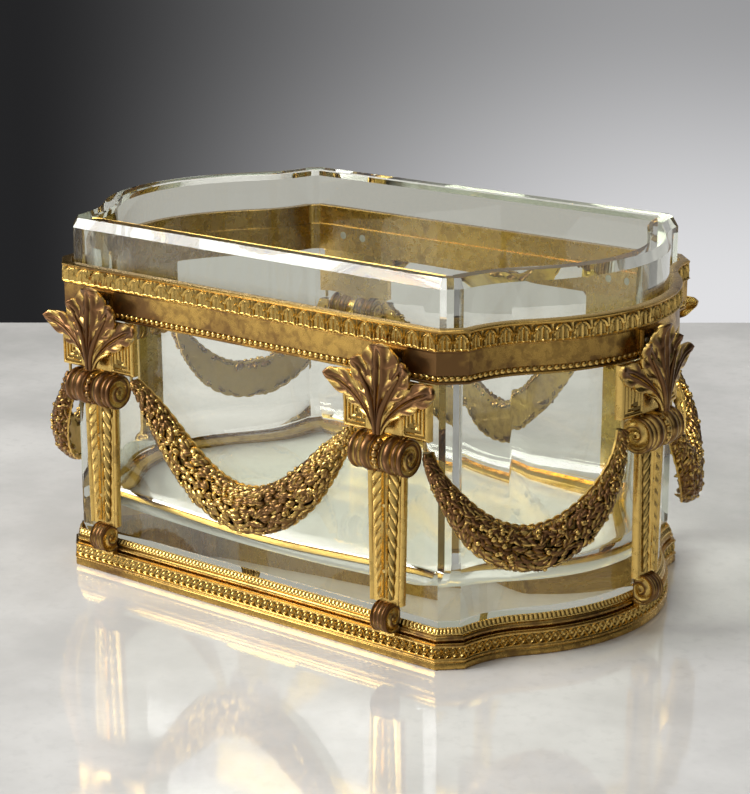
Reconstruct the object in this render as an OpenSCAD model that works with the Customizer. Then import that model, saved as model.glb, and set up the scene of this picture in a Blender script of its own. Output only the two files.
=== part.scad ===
// Cut-crystal casket vessel in a gilt-bronze mount.
// Origin: centre of the footprint, on the surface that the mount stands on.
// X runs along the length, -Y faces the front, Z is up.
// "Out" is the distance outwards from the outline of the glass.

/* [Glass vessel] */
// Length of the straight part of each long side
side_len = 200; // [180:1:240]
// Width across the long sides
glass_w = 173; // [165:1:185]
// Width of each canted corner facet
facet_w = 9.3; // [8.8:0.1:11]
// Radius of the hollow sweep beside each facet
sweep_r = 50; // [47:1:54]
// Radius of each bowed end
bow_r = 80; // [78:1:83]
// Reach of each bowed end past the straight sides
bow_reach = 37.5; // [36:0.5:39]
// Height of the vessel
glass_h = 144.2; // [138:0.1:170]
// Wall thickness
glass_wall = 8.5; // [6:0.5:9]
// Floor thickness
glass_floor = 10; // [7:0.5:14]
// Height of the bevel round the rim
rim_bevel_h = 4; // [2:0.1:6]
// Width of the bevel round the rim
rim_bevel_w = 2.2; // [1:0.1:3]
// Height of the bevel round the foot
foot_bevel_h = 4.3; // [2:0.1:6]
// Width of the bevel round the foot
foot_bevel_w = 1.6; // [0.8:0.1:2.4]
// Height over which the walls round into the floor
cove_h = 16; // [10:1:24]
// Half length of the oval floor
floor_rx = 112; // [100:1:118]
// Half width of the oval floor
floor_ry = 66; // [58:1:72]

/* [Clearances] */
// Gap between the glass and the ledge it stands on
seat_gap = 0.3; // [0.2:0.05:0.5]
// Gap between the glass and the metal round it
side_gap = 0.6; // [0.5:0.05:0.8]
// Gap between neighbouring pieces of the mount
fit_gap = 0.1; // [0.05:0.05:0.2]

/* [Base] */
// Height of the plain plinth face
plinth_h = 5.9; // [5:0.1:7]
// Reach of the plinth face past the glass
plinth_out = 3.9; // [3.8:0.1:4.2]
// Height of the fillets over and under the ring band
fillet_h = 0.6; // [0.4:0.1:0.9]
// Height of the ring band
ring_band_h = 3.3; // [2.8:0.1:3.8]
// Depth of the ring band
ring_band_t = 1.1; // [0.8:0.1:1.3]
// Height of the round moulding
torus_h = 3.3; // [3:0.1:3.6]
// Height of the ribbed rim
rim_h = 2.7; // [2:0.1:3.2]
// Thickness of the ledge plate
ledge_t = 3; // [2.5:0.1:3.4]
// Reach of the ledge plate in under the glass
ledge_in = 9; // [8.6:0.1:10]

/* [Frieze] */
// Height of the frieze's lower edge above the surface
frieze_z = 118.7; // [114:0.1:122]
// Height of the lower edge
frieze_edge_h = 0.9; // [0.6:0.1:1.2]
// Height of the bead row
bead_h = 2.7; // [2.2:0.1:3.2]
// Height of the plain face
fascia_h = 9.1; // [8.6:0.1:10.5]
// Reach of the plain face past the glass
fascia_out = 4.6; // [4.5:0.1:5]
// Height of the leaf-tip band
leaf_band_h = 7; // [6:0.1:8]
// Height of the lip
lip_h = 1.2; // [1:0.1:1.6]
// Depth of the step inside the frieze
frieze_step = 1; // [0.6:0.1:1.2]

/* [Consoles] */
// Distance of the long-side consoles from the ends of the straight side
console_inset = 20.5; // [18:0.5:25]
// Thickness of the back plate
plate_t = 2.6; // [2.4:0.1:3]
// Width of the shaft under the volute
shaft_top_w = 19; // [17:0.5:21]
// Width of the shaft at its foot
shaft_foot_w = 15.5; // [13:0.5:17]
// Width of the key-pattern block
key_w = 42.6; // [40:0.2:44]
// Thickness of the key-pattern block
key_t = 3.2; // [3:0.1:3.6]
// Height of the volute's axis above the surface
volute_z = 88; // [85:0.5:90]
// Largest radius of the volute
volute_r = 7.9; // [7:0.1:8.2]
// Width of the volute
volute_w = 26; // [24:0.2:28]
// Radius of the foot scroll
scroll_r = 6.7; // [6:0.1:7]
// Width of the foot scroll
scroll_w = 7.6; // [6.6:0.1:9]
// Thickness of the husk strip
husk_t = 1.5; // [1.2:0.1:1.8]
// Height of the acanthus leaf
acanthus_h = 37; // [34:0.5:39]
// Spread of the acanthus leaf
acanthus_w = 57; // [52:1:60]
// Thickness of the acanthus leaf
acanthus_t = 2.6; // [2.2:0.1:3]

/* [Garlands] */
// Height of the middle of a long-side garland at its lowest
garland_z = 47.2; // [45:0.2:52]
// Half of its height there
garland_half = 10.3; // [9:0.1:11]
// Half of its height at the ends
garland_end = 2.3; // [2:0.1:2.5]
// Depth of the garland at its lowest
garland_t = 9.2; // [8:0.1:10]
// Gap between the glass and its flat back
garland_gap = 1; // [0.8:0.1:1.4]
// Bow of each corner garland past the straight line between its ends
garland_bow = 7.6; // [7.2:0.1:8.6]

/* [Fasteners] */
// Diameter of the screws
screw_d = 2; // [1.8:0.1:2.2]
// Diameter of the screw heads
head_d = 3.6; // [3.2:0.1:3.8]
// Diameter of the rivets, dowels and pins
pin_d = 1.4; // [1.2:0.1:1.5]

/* [Hidden] */

gilt = "#c9a24a";
bronze = "#8a5a34";
olive = "#a58a45";
crystal = "#dfe8e4";
steel = "#8c8f92";
$fn = 48;
eps = 0.5;
far = 400;

// Outline of the glass: half of a straight side, a facet, a hollow sweep and half of a bowed end
half_side = side_len / 2;
half_w = glass_w / 2;
end_x = half_side + bow_reach;
bow_c = [end_x - bow_r, 0];
facet_n = [1, 1] / sqrt(2);
facet_end = [half_side + facet_w / sqrt(2), half_w - facet_w / sqrt(2)];
span = norm(bow_c - facet_end);
along = (span * span + sweep_r * sweep_r - (sweep_r + bow_r) * (sweep_r + bow_r)) / (2 * span);
toward = (bow_c - facet_end) / span;
sweep_c = facet_end + toward * along + [-toward[1], toward[0]] * sqrt(sweep_r * sweep_r - along * along);
bow_half = atan2(sweep_c[1], sweep_c[0] - bow_c[0]);
bow_steps = 8;
sweep_steps = 6;
cove_steps = 5;

function facet_far(d) =
  let (reach = facet_n * sweep_c - (facet_n * [half_side, half_w] + d), r = sweep_r - d)
  sweep_c - reach * facet_n - sqrt(r * r - reach * reach) * [1, -1] / sqrt(2);
function on_circle(c, r, ang) = c + r * [cos(ang), sin(ang)];
function quarter(d) =
  let (b = facet_far(d) - sweep_c, from = 180 + atan2(-b[1], -b[0]), to = 180 + bow_half)
  concat(
    [[half_side + d * tan(22.5), half_w + d]],
    [for (i = [0 : sweep_steps]) on_circle(sweep_c, sweep_r - d, from + (to - from) * i / sweep_steps)],
    [for (i = [1 : bow_steps]) on_circle(bow_c, bow_r + d, bow_half * (1 - i / bow_steps))]);
function flip(pts) = [for (i = [len(pts) - 1 : -1 : 0]) pts[i]];
function times(pts, sx, sy) = [for (p = pts) [p[0] * sx, p[1] * sy]];
function tail(pts) = [for (i = [1 : len(pts) - 1]) pts[i]];
function head(pts) = [for (i = [0 : len(pts) - 2]) pts[i]];
function plan(d) =
  let (q = quarter(d))
  concat(flip(q), times(q, -1, 1), tail(flip(times(q, -1, -1))), head(times(q, 1, -1)));

// Levels of the base
ring_z = plinth_h + fillet_h;
shelf_z = ring_z + ring_band_h + fillet_h;
torus_z = shelf_z + fillet_h;
rim_z = torus_z + torus_h;
ledge_z = rim_z + 0.7;
glass_z = ledge_z + seat_gap;
glass_top = glass_z + glass_h;
upright_out = side_gap - fit_gap;
torus_out = upright_out + 2.1;
rim_out = upright_out + 1.5;
ring_out = plinth_out - 0.2;
flange_in = 7.5;
flange_h = 3;
upright_in = 2.5;

// Levels of the frieze
bead_z = frieze_z + frieze_edge_h;
fascia_z = bead_z + bead_h;
astragal_z = fascia_z + fascia_h;
leaf_z = astragal_z + 1;
lip_z = leaf_z + leaf_band_h;

// Levels and reaches of the consoles
console_x = half_side - console_inset;
scroll_z = shelf_z + scroll_r + 1.9;
plate_z = scroll_z + 0.88 * scroll_r;
plate_back = fascia_out + 2 * fit_gap;
plate_out = plate_back + plate_t;
key_z = volute_z + volute_r + fit_gap;
key_top = frieze_z - 2 * fit_gap;
key_out = plate_back + key_t;
tab_top = astragal_z - 0.5;
volute_out = volute_r + 0.3;
scroll_out = scroll_r - 0.2;
scroll_back = 3.1;
leaf_root = key_z + 1.2;
leaf_back = key_out + fit_gap;
leaf_rise = key_top + 0.5 - leaf_root;
hang_z = key_z - fit_gap - garland_end;
hang_out = (plate_back + key_out) / 2;
hang_x = key_w / 2 - garland_end - 0.3;

// Places of the six consoles: where each stands, and which way it faces
PLACES = [
  [[-console_x, -half_w], 0], [[console_x, -half_w], 0], [[end_x, 0], 90],
  [[console_x, half_w], 180], [[-console_x, half_w], 180], [[-end_x, 0], -90]];
function is_end(i) = i % 3 == 2;
function turned(p, ang) = [p[0] * cos(ang) - p[1] * sin(ang), p[0] * sin(ang) + p[1] * cos(ang)];
// A spot at width x and reach out, in front of console i; on a bowed end it follows the bow
function spot(i, x, out) = PLACES[i][0] + turned([x, -out + sag(i, x, out)], PLACES[i][1]);
function sag(i, x, out) = is_end(i) ? (bow_r + out) - sqrt(pow(bow_r + out, 2) - x * x) : 0;

module at(i) translate(PLACES[i][0]) rotate(PLACES[i][1]) children();
module each_place() for (i = [0 : 5]) at(i) children();
// Stands a flat drawing of width and height upright, running outwards from reach "from" to reach "to"
module upright(from, to) translate([0, -from, 0]) rotate([90, 0, 0]) linear_extrude(to - from) children();
module rod(x, z, from, to, d) translate([x, -from, z]) rotate([90, 0, 0]) cylinder(h = to - from, d = d);
module post(x, out, from, to, d) translate([x, -out, from]) cylinder(h = to - from, d = d);
module band(z0, z1, out, in) translate([0, 0, z0]) linear_extrude(z1 - z0) difference() {
    polygon(plan(out));
    polygon(plan(in));
  }

// A skin over rings of points that run anticlockwise; closed joins the last ring to the first
module skin(rings, closed) {
  m = len(rings[0]);
  n = len(rings);
  last = closed ? n - 1 : n - 2;
  sides = [for (i = [0 : last], j = [0 : m - 1], half = [0, 1])
      let (a = i * m, b = (i + 1) % n * m, k = (j + 1) % m)
      half == 0 ? [a + j, b + j, b + k] : [a + j, b + k, a + k]];
  caps = closed ? [] : [[for (j = [0 : m - 1]) j], [for (j = [m - 1 : -1 : 0]) (n - 1) * m + j]];
  polyhedron(points = [for (ring = rings, p = ring) p], faces = concat(sides, caps), convexity = 8);
}
function lift(pts, z) = [for (p = pts) [p[0], p[1], z]];
module moulding(profile) skin([for (p = profile) lift(plan(p[0]), p[1])], true);

// Glass
function oval(p) = let (ang = atan2(p[1] / floor_ry, p[0] / floor_rx)) [floor_rx * cos(ang), floor_ry * sin(ang)];
function mixed(pts, t) = [for (p = pts) p * (1 - t) + oval(p) * t];

module glass_vessel() color(crystal, 0.4) {
  wall = plan(-glass_wall);
  cavity_z = glass_z + glass_floor;
  skin(concat(
    [lift(plan(-foot_bevel_w), glass_z)],
    [lift(plan(0), glass_z + foot_bevel_h)],
    [lift(plan(0), glass_top - rim_bevel_h)],
    [lift(plan(-rim_bevel_w), glass_top)],
    [lift(plan(0.6 - glass_wall), glass_top)],
    [lift(wall, glass_top - 0.6)],
    [for (k = [0 : cove_steps])
      let (t = k / cove_steps) lift(mixed(wall, pow(t, 1.5)), cavity_z + cove_h * pow(1 - t, 2))]), false);
}

// Base
module ledge_screw_ring() {
  for (x = [-1, 0, 1], y = [-1, 1]) translate([x * 0.7 * half_side, y * (half_w - 5.4), 0]) children();
  for (m = [0, 1], t = [-25, 25]) mirror([m, 0, 0]) translate(on_circle(bow_c, bow_r - 5.4, t)) children();
}
module ledge_screw(gap) {
  low = ledge_z - ledge_t - flange_h;
  translate([0, 0, low]) cylinder(h = flange_h + ledge_t - 0.8 + gap, d = screw_d + 2 * gap);
  translate([0, 0, low]) cylinder(h = 1, d1 = head_d + 2 * gap, d2 = screw_d + 2 * gap);
}
module foot_screw(gap) {
  z = torus_z + 0.58 * torus_h;
  rod(0, z, -upright_in, scroll_out + gap, screw_d + 2 * gap);
  translate([0, upright_in, z]) rotate([90, 0, 0]) cylinder(h = 1, d1 = head_d + 2 * gap, d2 = screw_d + 2 * gap);
}

module base_plinth() color(gilt) difference() {
    union() {
      band(0, plinth_h, plinth_out, -4);
      band(plinth_h, ring_z, plinth_out + 0.2, -4);
      band(ring_z, shelf_z - fillet_h, ring_out - ring_band_t, -4);
      band(shelf_z - fillet_h, shelf_z, plinth_out - 0.1, -4);
      band(shelf_z, torus_z, 3, -4);
      band(torus_z, ledge_z, upright_out, -upright_in);
      band(ledge_z - ledge_t - flange_h, ledge_z - ledge_t, 0, -flange_in);
    }
    ledge_screw_ring() ledge_screw(fit_gap);
    each_place() foot_screw(fit_gap);
  }
module seat_ledge() color(olive) difference() {
    band(ledge_z - ledge_t, ledge_z, -upright_in - fit_gap, -ledge_in);
    ledge_screw_ring() ledge_screw(fit_gap);
  }
module ring_band() color(gilt) band(ring_z, shelf_z - fillet_h, ring_out, ring_out - ring_band_t);
module base_torus() color(gilt) difference() {
    moulding([
      [upright_out, torus_z], [torus_out - 0.7, torus_z], [torus_out - 0.2, torus_z + 0.2 * torus_h],
      [torus_out, torus_z + 0.5 * torus_h], [torus_out - 0.2, torus_z + 0.78 * torus_h],
      [torus_out - 0.6, rim_z - 0.2], [torus_out - 0.6, rim_z], [upright_out, rim_z]]);
    each_place() foot_screw(fit_gap);
  }
module base_rim() color(gilt) moulding([
    [side_gap, rim_z], [rim_out, rim_z], [rim_out, rim_z + 0.22 * rim_h],
    [side_gap + 0.4, rim_z + rim_h], [side_gap, rim_z + rim_h]]);

// Frieze
module frieze_screw(x, gap) {
  z = fascia_z + fascia_h / 2;
  rod(x, z, side_gap, plate_out - 0.4 + gap, screw_d + 2 * gap);
  translate([x, -side_gap, z]) rotate([90, 0, 0]) cylinder(h = 1, d1 = head_d + 2 * gap, d2 = screw_d + 2 * gap);
}
module frieze_screw_pair(gap) for (x = [-6, 6]) frieze_screw(x, gap);

module frieze_frame() color(gilt) difference() {
    union() {
      band(frieze_z, bead_z, fascia_out - 0.2, side_gap);
      band(bead_z, fascia_z, fascia_out - 1.2, side_gap);
      band(fascia_z, astragal_z, fascia_out, side_gap);
      band(astragal_z, leaf_z, fascia_out + 0.4, side_gap + frieze_step);
      band(leaf_z, lip_z, fascia_out - 0.4, side_gap + frieze_step);
    }
    each_place() {
      translate([0, eps, 0]) frieze_screw_pair(fit_gap);
      frieze_screw_pair(fit_gap);
    }
  }
module bead_row() color(gilt) moulding([
    [fascia_out - 1.2, bead_z], [fascia_out - 0.7, bead_z], [fascia_out - 0.1, bead_z + 0.25 * bead_h],
    [fascia_out + 0.1, bead_z + 0.5 * bead_h], [fascia_out - 0.1, bead_z + 0.75 * bead_h],
    [fascia_out - 0.7, fascia_z], [fascia_out - 1.2, fascia_z]]);
module leaf_band() color(gilt) moulding([
    [fascia_out - 0.4, leaf_z], [fascia_out + 1.2, leaf_z], [fascia_out + 1.3, leaf_z + 0.8],
    [fascia_out + 0.7, lip_z], [fascia_out - 0.4, lip_z]]);
module top_lip() color(gilt) moulding([
    [side_gap + 0.6, lip_z], [fascia_out + 0.6, lip_z], [fascia_out + 0.8, lip_z + 0.3 * lip_h],
    [fascia_out + 0.6, lip_z + 0.8 * lip_h], [fascia_out + 0.2, lip_z + lip_h], [side_gap + 0.6, lip_z + lip_h]]);

// Consoles
module acanthus_rivet(gap) for (t = [0.3, 0.75])
    rod(0, leaf_root + t * leaf_rise, plate_back, leaf_back + 1.6 + gap, pin_d + 2 * gap);
module volute_rivet(gap) rod(0, volute_z, plate_back, plate_out + 4 + gap, pin_d + 2 * gap);
module husk_rivet(gap) for (t = [0.25, 0.75])
    rod(0, plate_z + t * (volute_z - volute_r - plate_z), plate_back, plate_out + 0.8 * husk_t + gap, pin_d + 2 * gap);
module foot_dowel(gap) post(0, (plate_back + plate_out) / 2, plate_z - 5 - gap, plate_z + 6 + gap, pin_d + 2 * gap);

module pilaster(i) color(gilt) difference() {
    union() {
      intersection() {
        band(plate_z, tab_top, plate_out, plate_back);
        at(i) upright(0, 30) polygon([
            [-shaft_foot_w / 2, 0], [shaft_foot_w / 2, 0], [shaft_top_w / 2, key_z], [shaft_top_w / 2, far],
            [-shaft_top_w / 2, far], [-shaft_top_w / 2, key_z]]);
      }
      intersection() {
        band(key_z, key_top, key_out, plate_back);
        at(i) upright(0, 30) translate([-key_w / 2, 0]) square([key_w, far]);
      }
    }
    at(i) {
      frieze_screw_pair(fit_gap);
      translate([0, eps, 0]) acanthus_rivet(fit_gap);
      acanthus_rivet(fit_gap);
      translate([0, eps, 0]) volute_rivet(fit_gap);
      volute_rivet(fit_gap);
      translate([0, eps, 0]) husk_rivet(fit_gap);
      husk_rivet(fit_gap);
      foot_dowel(fit_gap);
    }
    garland_pin_pair(i, fit_gap);
  }

// Leaflets step outwards up a strip that widens towards its top
husk_steps = 7;
module husk_outline() {
  low = plate_z + 2;
  high = volute_z - volute_r - fit_gap;
  pitch = (high - low) / husk_steps;
  right = [for (k = [0 : husk_steps - 1], top = [0, 1])
      let (w = 2.2 + 5.4 * (k + 1) / husk_steps)
      top == 0 ? [0.66 * w, low + k * pitch] : [w, low + (k + 0.8) * pitch]];
  polygon(concat(right, [[right[len(right) - 1][0], high]], [[-right[len(right) - 1][0], high]], times(flip(right), -1, 1)));
}
module husk(i) color(gilt) difference() {
    intersection() {
      band(plate_z, volute_z, plate_out + husk_t, plate_out);
      at(i) upright(0, 30) husk_outline();
    }
    at(i) {
      translate([0, eps, 0]) husk_rivet(fit_gap);
      husk_rivet(fit_gap);
    }
  }

module volute(i) color(bronze) at(i) difference() {
    translate([0, -volute_out, volute_z]) rotate([0, 90, 0]) rotate_extrude() polygon(concat(
      [[0, -volute_w / 2]],
      [for (p = volute_profile()) [p[1], -p[0]]],
      [for (p = flip(volute_profile())) [p[1], p[0]]],
      [[0, volute_w / 2]]));
    translate([0, -plate_out, volute_z]) translate([-shaft_top_w / 2 - fit_gap, 0, -15]) cube([shaft_top_w + 2 * fit_gap, 30, 30]);
    translate([-30, -garland_gap, volute_z - 15]) cube([60, 30, 30]);
    translate([0, eps, 0]) volute_rivet(fit_gap);
    volute_rivet(fit_gap);
  }
// Half of the roll's profile, [distance from its middle, radius], from the end disc inwards
function volute_profile() = let (w = volute_w / 2, r = volute_r) [
    [w, 0.84 * r], [w - 0.8, 0.94 * r], [w - 2.6, 0.94 * r], [w - 3.4, 0.88 * r], [w - 5, 0.96 * r],
    [w - 6.6, 0.9 * r], [w - 8.4, r], [w - 10.2, 0.92 * r], [w - 11, 0.96 * r]];

// The leaf: half width at each level, then the depth of its front over its flat back
LEAF = [[0, 0.1], [0.12, 0.2], [0.26, 0.36], [0.4, 0.56], [0.5, 0.82], [0.58, 1], [0.6, 0.62],
  [0.7, 0.5], [0.79, 0.41], [0.81, 0.24], [0.9, 0.2], [0.96, 0.12], [1, 0.04]];
leaf_cols = 8;
function leaf_point(i, v, half, u, back) =
  let (x = u * half, z = leaf_root + v * acanthus_h)
  let (front = 3.4 + 0.7 * acanthus_t * (1 - v) * (1 - u * u) - 1.2 * pow(abs(x) / (acanthus_w / 2), 2))
  let (over = z > key_top ? acanthus_t * 0.3 : 0)
  let (out = leaf_back + (back ? over : front + over))
  concat(spot(i, x, out), [z]);
module acanthus(i) color(bronze) difference() {
    back_cols = is_end(i) ? leaf_cols : 1;
    skin([for (row = LEAF) let (half = row[1] * acanthus_w / 2) concat(
        [for (k = [-leaf_cols / 2 : leaf_cols / 2]) leaf_point(i, row[0], half, 2 * k / leaf_cols, false)],
        [for (k = [back_cols / 2 : -1 : -back_cols / 2]) leaf_point(i, row[0], half, 2 * k / back_cols, true)])], false);
    at(i) {
      translate([0, eps, 0]) acanthus_rivet(fit_gap);
      acanthus_rivet(fit_gap);
    }
  }

module foot_scroll(i) color(bronze) at(i) difference() {
    union() {
      translate([-scroll_w / 2, -scroll_out, scroll_z]) rotate([0, 90, 0]) cylinder(h = scroll_w, r = scroll_r);
      translate([-scroll_w / 2, -scroll_out, shelf_z + fit_gap]) cube([scroll_w, scroll_out, scroll_r]);
    }
    translate([-scroll_w, -scroll_back, 0]) cube([2 * scroll_w, 30, far]);
    translate([-scroll_w, -30, plate_z - fit_gap]) cube([2 * scroll_w, 60, 10]);
    foot_screw(fit_gap);
    foot_dowel(fit_gap);
  }

// Garlands: a D-shaped section, flat at the back, carried along a hanging curve between two blocks
function hang_spot(i, side) = spot(i, side * hang_x, hang_out - garland_end);
module garland_pin_pair(i, gap) for (s = [-1, 1])
    translate(spot(i, s * hang_x, hang_out)) translate([0, 0, hang_z - 1.5 - gap]) cylinder(h = 6.5 + 2 * gap, d = pin_d + 2 * gap);
garland_steps = 22;
garland_sides = 11;
function unit(v) = v / norm(v);
function back_line(a, b, n, bulge, t) = a + (b - a) * (1 + t) / 2 + n * bulge * (1 - pow(t, 6));
function hang_point(a, b, n, bulge, low, k, ang) =
  let (s = sin(ang), t = 0.9 * s + 0.1 * pow(s, 9))
  let (p = back_line(a, b, n, bulge, t))
  [p[0], p[1], low + (hang_z - low) * (1 - pow(cos(ang), k))];
module garland(a, b, bulge, low, k, half) color(bronze) {
  n = unit([b[1] - a[1], a[0] - b[0]]);
  top = 87;
  skin([for (step = [0 : garland_steps])
      let (ang = top * (1 - 2 * step / garland_steps), s = sin(ang), t = 0.9 * s + 0.1 * pow(s, 9))
      let (p = hang_point(a, b, n, bulge, low, k, ang))
      let (run = unit(hang_point(a, b, n, bulge, low, k, ang - 1) - hang_point(a, b, n, bulge, low, k, ang + 1)))
      let (flat = unit(back_line(a, b, n, bulge, t + 0.01) - back_line(a, b, n, bulge, t - 0.01)))
      let (out = [flat[1], -flat[0], 0], across = cross(run, out))
      let (h = garland_end + (half - garland_end) * (1 - pow(abs(t), 2.6)))
      let (depth = 2 * garland_end + (garland_t - 2 * garland_end) * (1 - pow(t, 4)))
      [for (j = [0 : garland_sides - 1])
        let (phi = -20 + 220 * j / (garland_sides - 1))
        p + across * h * cos(phi) + out * depth * (sin(phi) + sin(20)) / (1 + sin(20))]], false);
}
module long_garland(i, j) difference() {
    a = hang_spot(i, 1);
    b = hang_spot(j, -1);
    garland(a, b, garland_gap + half_w - abs(a[1]), garland_z, 1.8, garland_half);
    garland_pin_pair(i, fit_gap);
    garland_pin_pair(j, fit_gap);
  }
module corner_garland(i, j) difference() {
    garland(hang_spot(i, 1), hang_spot(j, -1), garland_bow, garland_z + 1.8, 1, 0.92 * garland_half);
    garland_pin_pair(i, fit_gap);
    garland_pin_pair(j, fit_gap);
  }

// Fasteners
module ledge_screws() color(steel) ledge_screw_ring() ledge_screw(0);
module foot_screws() color(steel) each_place() foot_screw(0);
module foot_dowels() color(steel) each_place() foot_dowel(0);
module frieze_screws() color(steel) each_place() frieze_screw_pair(0);
module acanthus_rivets() color(gilt) each_place() acanthus_rivet(0);
module volute_rivets() color(gilt) each_place() volute_rivet(0);
module husk_rivets() color(gilt) each_place() husk_rivet(0);
module garland_pins() color(gilt) for (i = [0 : 5]) garland_pin_pair(i, 0);

// The pieces
module pilaster_front_left() pilaster(0);
module pilaster_front_right() pilaster(1);
module pilaster_right_end() pilaster(2);
module pilaster_back_right() pilaster(3);
module pilaster_back_left() pilaster(4);
module pilaster_left_end() pilaster(5);
module husk_front_left() husk(0);
module husk_front_right() husk(1);
module husk_right_end() husk(2);
module husk_back_right() husk(3);
module husk_back_left() husk(4);
module husk_left_end() husk(5);
module volute_front_left() volute(0);
module volute_front_right() volute(1);
module volute_right_end() volute(2);
module volute_back_right() volute(3);
module volute_back_left() volute(4);
module volute_left_end() volute(5);
module acanthus_front_left() acanthus(0);
module acanthus_front_right() acanthus(1);
module acanthus_right_end() acanthus(2);
module acanthus_back_right() acanthus(3);
module acanthus_back_left() acanthus(4);
module acanthus_left_end() acanthus(5);
module foot_scroll_front_left() foot_scroll(0);
module foot_scroll_front_right() foot_scroll(1);
module foot_scroll_right_end() foot_scroll(2);
module foot_scroll_back_right() foot_scroll(3);
module foot_scroll_back_left() foot_scroll(4);
module foot_scroll_left_end() foot_scroll(5);
module garland_front() long_garland(0, 1);
module garland_front_right() corner_garland(1, 2);
module garland_back_right() corner_garland(2, 3);
module garland_back() long_garland(3, 4);
module garland_back_left() corner_garland(4, 5);
module garland_front_left() corner_garland(5, 0);

glass_vessel();
base_plinth();
seat_ledge();
ring_band();
base_torus();
base_rim();
frieze_frame();
bead_row();
leaf_band();
top_lip();
pilaster_front_left();
pilaster_front_right();
pilaster_right_end();
pilaster_back_right();
pilaster_back_left();
pilaster_left_end();
husk_front_left();
husk_front_right();
husk_right_end();
husk_back_right();
husk_back_left();
husk_left_end();
volute_front_left();
volute_front_right();
volute_right_end();
volute_back_right();
volute_back_left();
volute_left_end();
acanthus_front_left();
acanthus_front_right();
acanthus_right_end();
acanthus_back_right();
acanthus_back_left();
acanthus_left_end();
foot_scroll_front_left();
foot_scroll_front_right();
foot_scroll_right_end();
foot_scroll_back_right();
foot_scroll_back_left();
foot_scroll_left_end();
garland_front();
garland_back();
garland_front_right();
garland_back_right();
garland_back_left();
garland_front_left();
ledge_screws();
foot_screws();
foot_dowels();
frieze_screws();
acanthus_rivets();
volute_rivets();
husk_rivets();
garland_pins();
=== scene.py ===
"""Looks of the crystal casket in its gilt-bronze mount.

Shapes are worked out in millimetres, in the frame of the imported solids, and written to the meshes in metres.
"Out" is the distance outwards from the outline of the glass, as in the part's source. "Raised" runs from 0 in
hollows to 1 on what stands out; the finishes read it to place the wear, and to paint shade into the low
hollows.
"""

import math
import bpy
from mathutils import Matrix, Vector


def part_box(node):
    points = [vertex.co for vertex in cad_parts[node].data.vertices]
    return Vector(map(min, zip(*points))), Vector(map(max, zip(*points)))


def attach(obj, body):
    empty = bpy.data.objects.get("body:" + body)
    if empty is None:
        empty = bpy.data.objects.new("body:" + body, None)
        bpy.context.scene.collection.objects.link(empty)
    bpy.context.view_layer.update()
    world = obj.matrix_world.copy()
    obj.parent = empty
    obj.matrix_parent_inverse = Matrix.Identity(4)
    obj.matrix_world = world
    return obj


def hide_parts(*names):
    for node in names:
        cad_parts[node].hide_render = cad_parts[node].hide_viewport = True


bl_info = {
    "name": "Crystal casket in a gilt mount",
    "version": (1, 0, 0),
    "blender": (4, 5, 0),
    "location": "3D View > Sidebar > Casket",
    "description": "Builds the cut-crystal vessel, its gilt-bronze mount and a plain stage",
    "category": "Object",
}

import bpy
import numpy as np
from mathutils import Matrix, Vector

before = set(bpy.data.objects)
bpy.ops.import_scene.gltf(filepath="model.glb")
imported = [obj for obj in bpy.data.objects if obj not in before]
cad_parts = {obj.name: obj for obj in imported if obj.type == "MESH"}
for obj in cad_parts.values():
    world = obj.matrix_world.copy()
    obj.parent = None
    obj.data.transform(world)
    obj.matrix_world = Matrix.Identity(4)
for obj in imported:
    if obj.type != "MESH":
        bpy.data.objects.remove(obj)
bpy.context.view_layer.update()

MM = 0.001
MOUNT, VESSEL = "mount", "vessel"


def reach(node, corner, axis):
    """One coordinate of a node's box, in millimetres."""
    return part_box(node)[corner][axis] / MM


# Outline of the glass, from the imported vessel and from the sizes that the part's source gives
HALF_W = reach("glass_vessel", 1, 1)
END_X = reach("glass_vessel", 1, 0)
HALF_SIDE = 100.0
FACET = 9.3
SWEEP_R = 50.0
SWEEP_LENGTH = 31.0
BOW_R = 80.0

# Section of the glass: wall, bevels of foot, rim and inner edge, floor, and cove between floor and wall
WALL = 8.5
FOOT_IN, FOOT_H = 1.6, 4.3
RIM_IN, RIM_H = 2.2, 4.0
EDGE = 0.6
FLOOR_T = 10.0
COVE_H = 16.0
# Half axes of the oval floor
OVAL_X, OVAL_Y = 112.0, 66.0

# Levels of the mount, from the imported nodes
RING_Z, SHELF_FILLET_Z = reach("ring_band", 0, 2), reach("ring_band", 1, 2)
TORUS_Z, RIM_Z = reach("base_torus", 0, 2), reach("base_torus", 1, 2)
RIM_TOP = reach("base_rim", 1, 2)
LEDGE_LOW, LEDGE_TOP = reach("seat_ledge", 0, 2), reach("seat_ledge", 1, 2)
GLASS_Z, GLASS_TOP = reach("glass_vessel", 0, 2), reach("glass_vessel", 1, 2)
FRIEZE_Z = reach("frieze_frame", 0, 2)
BEAD_Z, FASCIA_Z = reach("bead_row", 0, 2), reach("bead_row", 1, 2)
LEAF_Z, LIP_Z = reach("leaf_band", 0, 2), reach("leaf_band", 1, 2)
LIP_TOP = reach("top_lip", 1, 2)

# The carved ring band starts lower than its node
BAND_LOW = RING_Z - 1.9
SHELF_Z = 10.4
ASTRAGAL_Z = LEAF_Z - 1.0
FASCIA_OUT = 4.6
SIDE_GAP = 0.6

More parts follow.
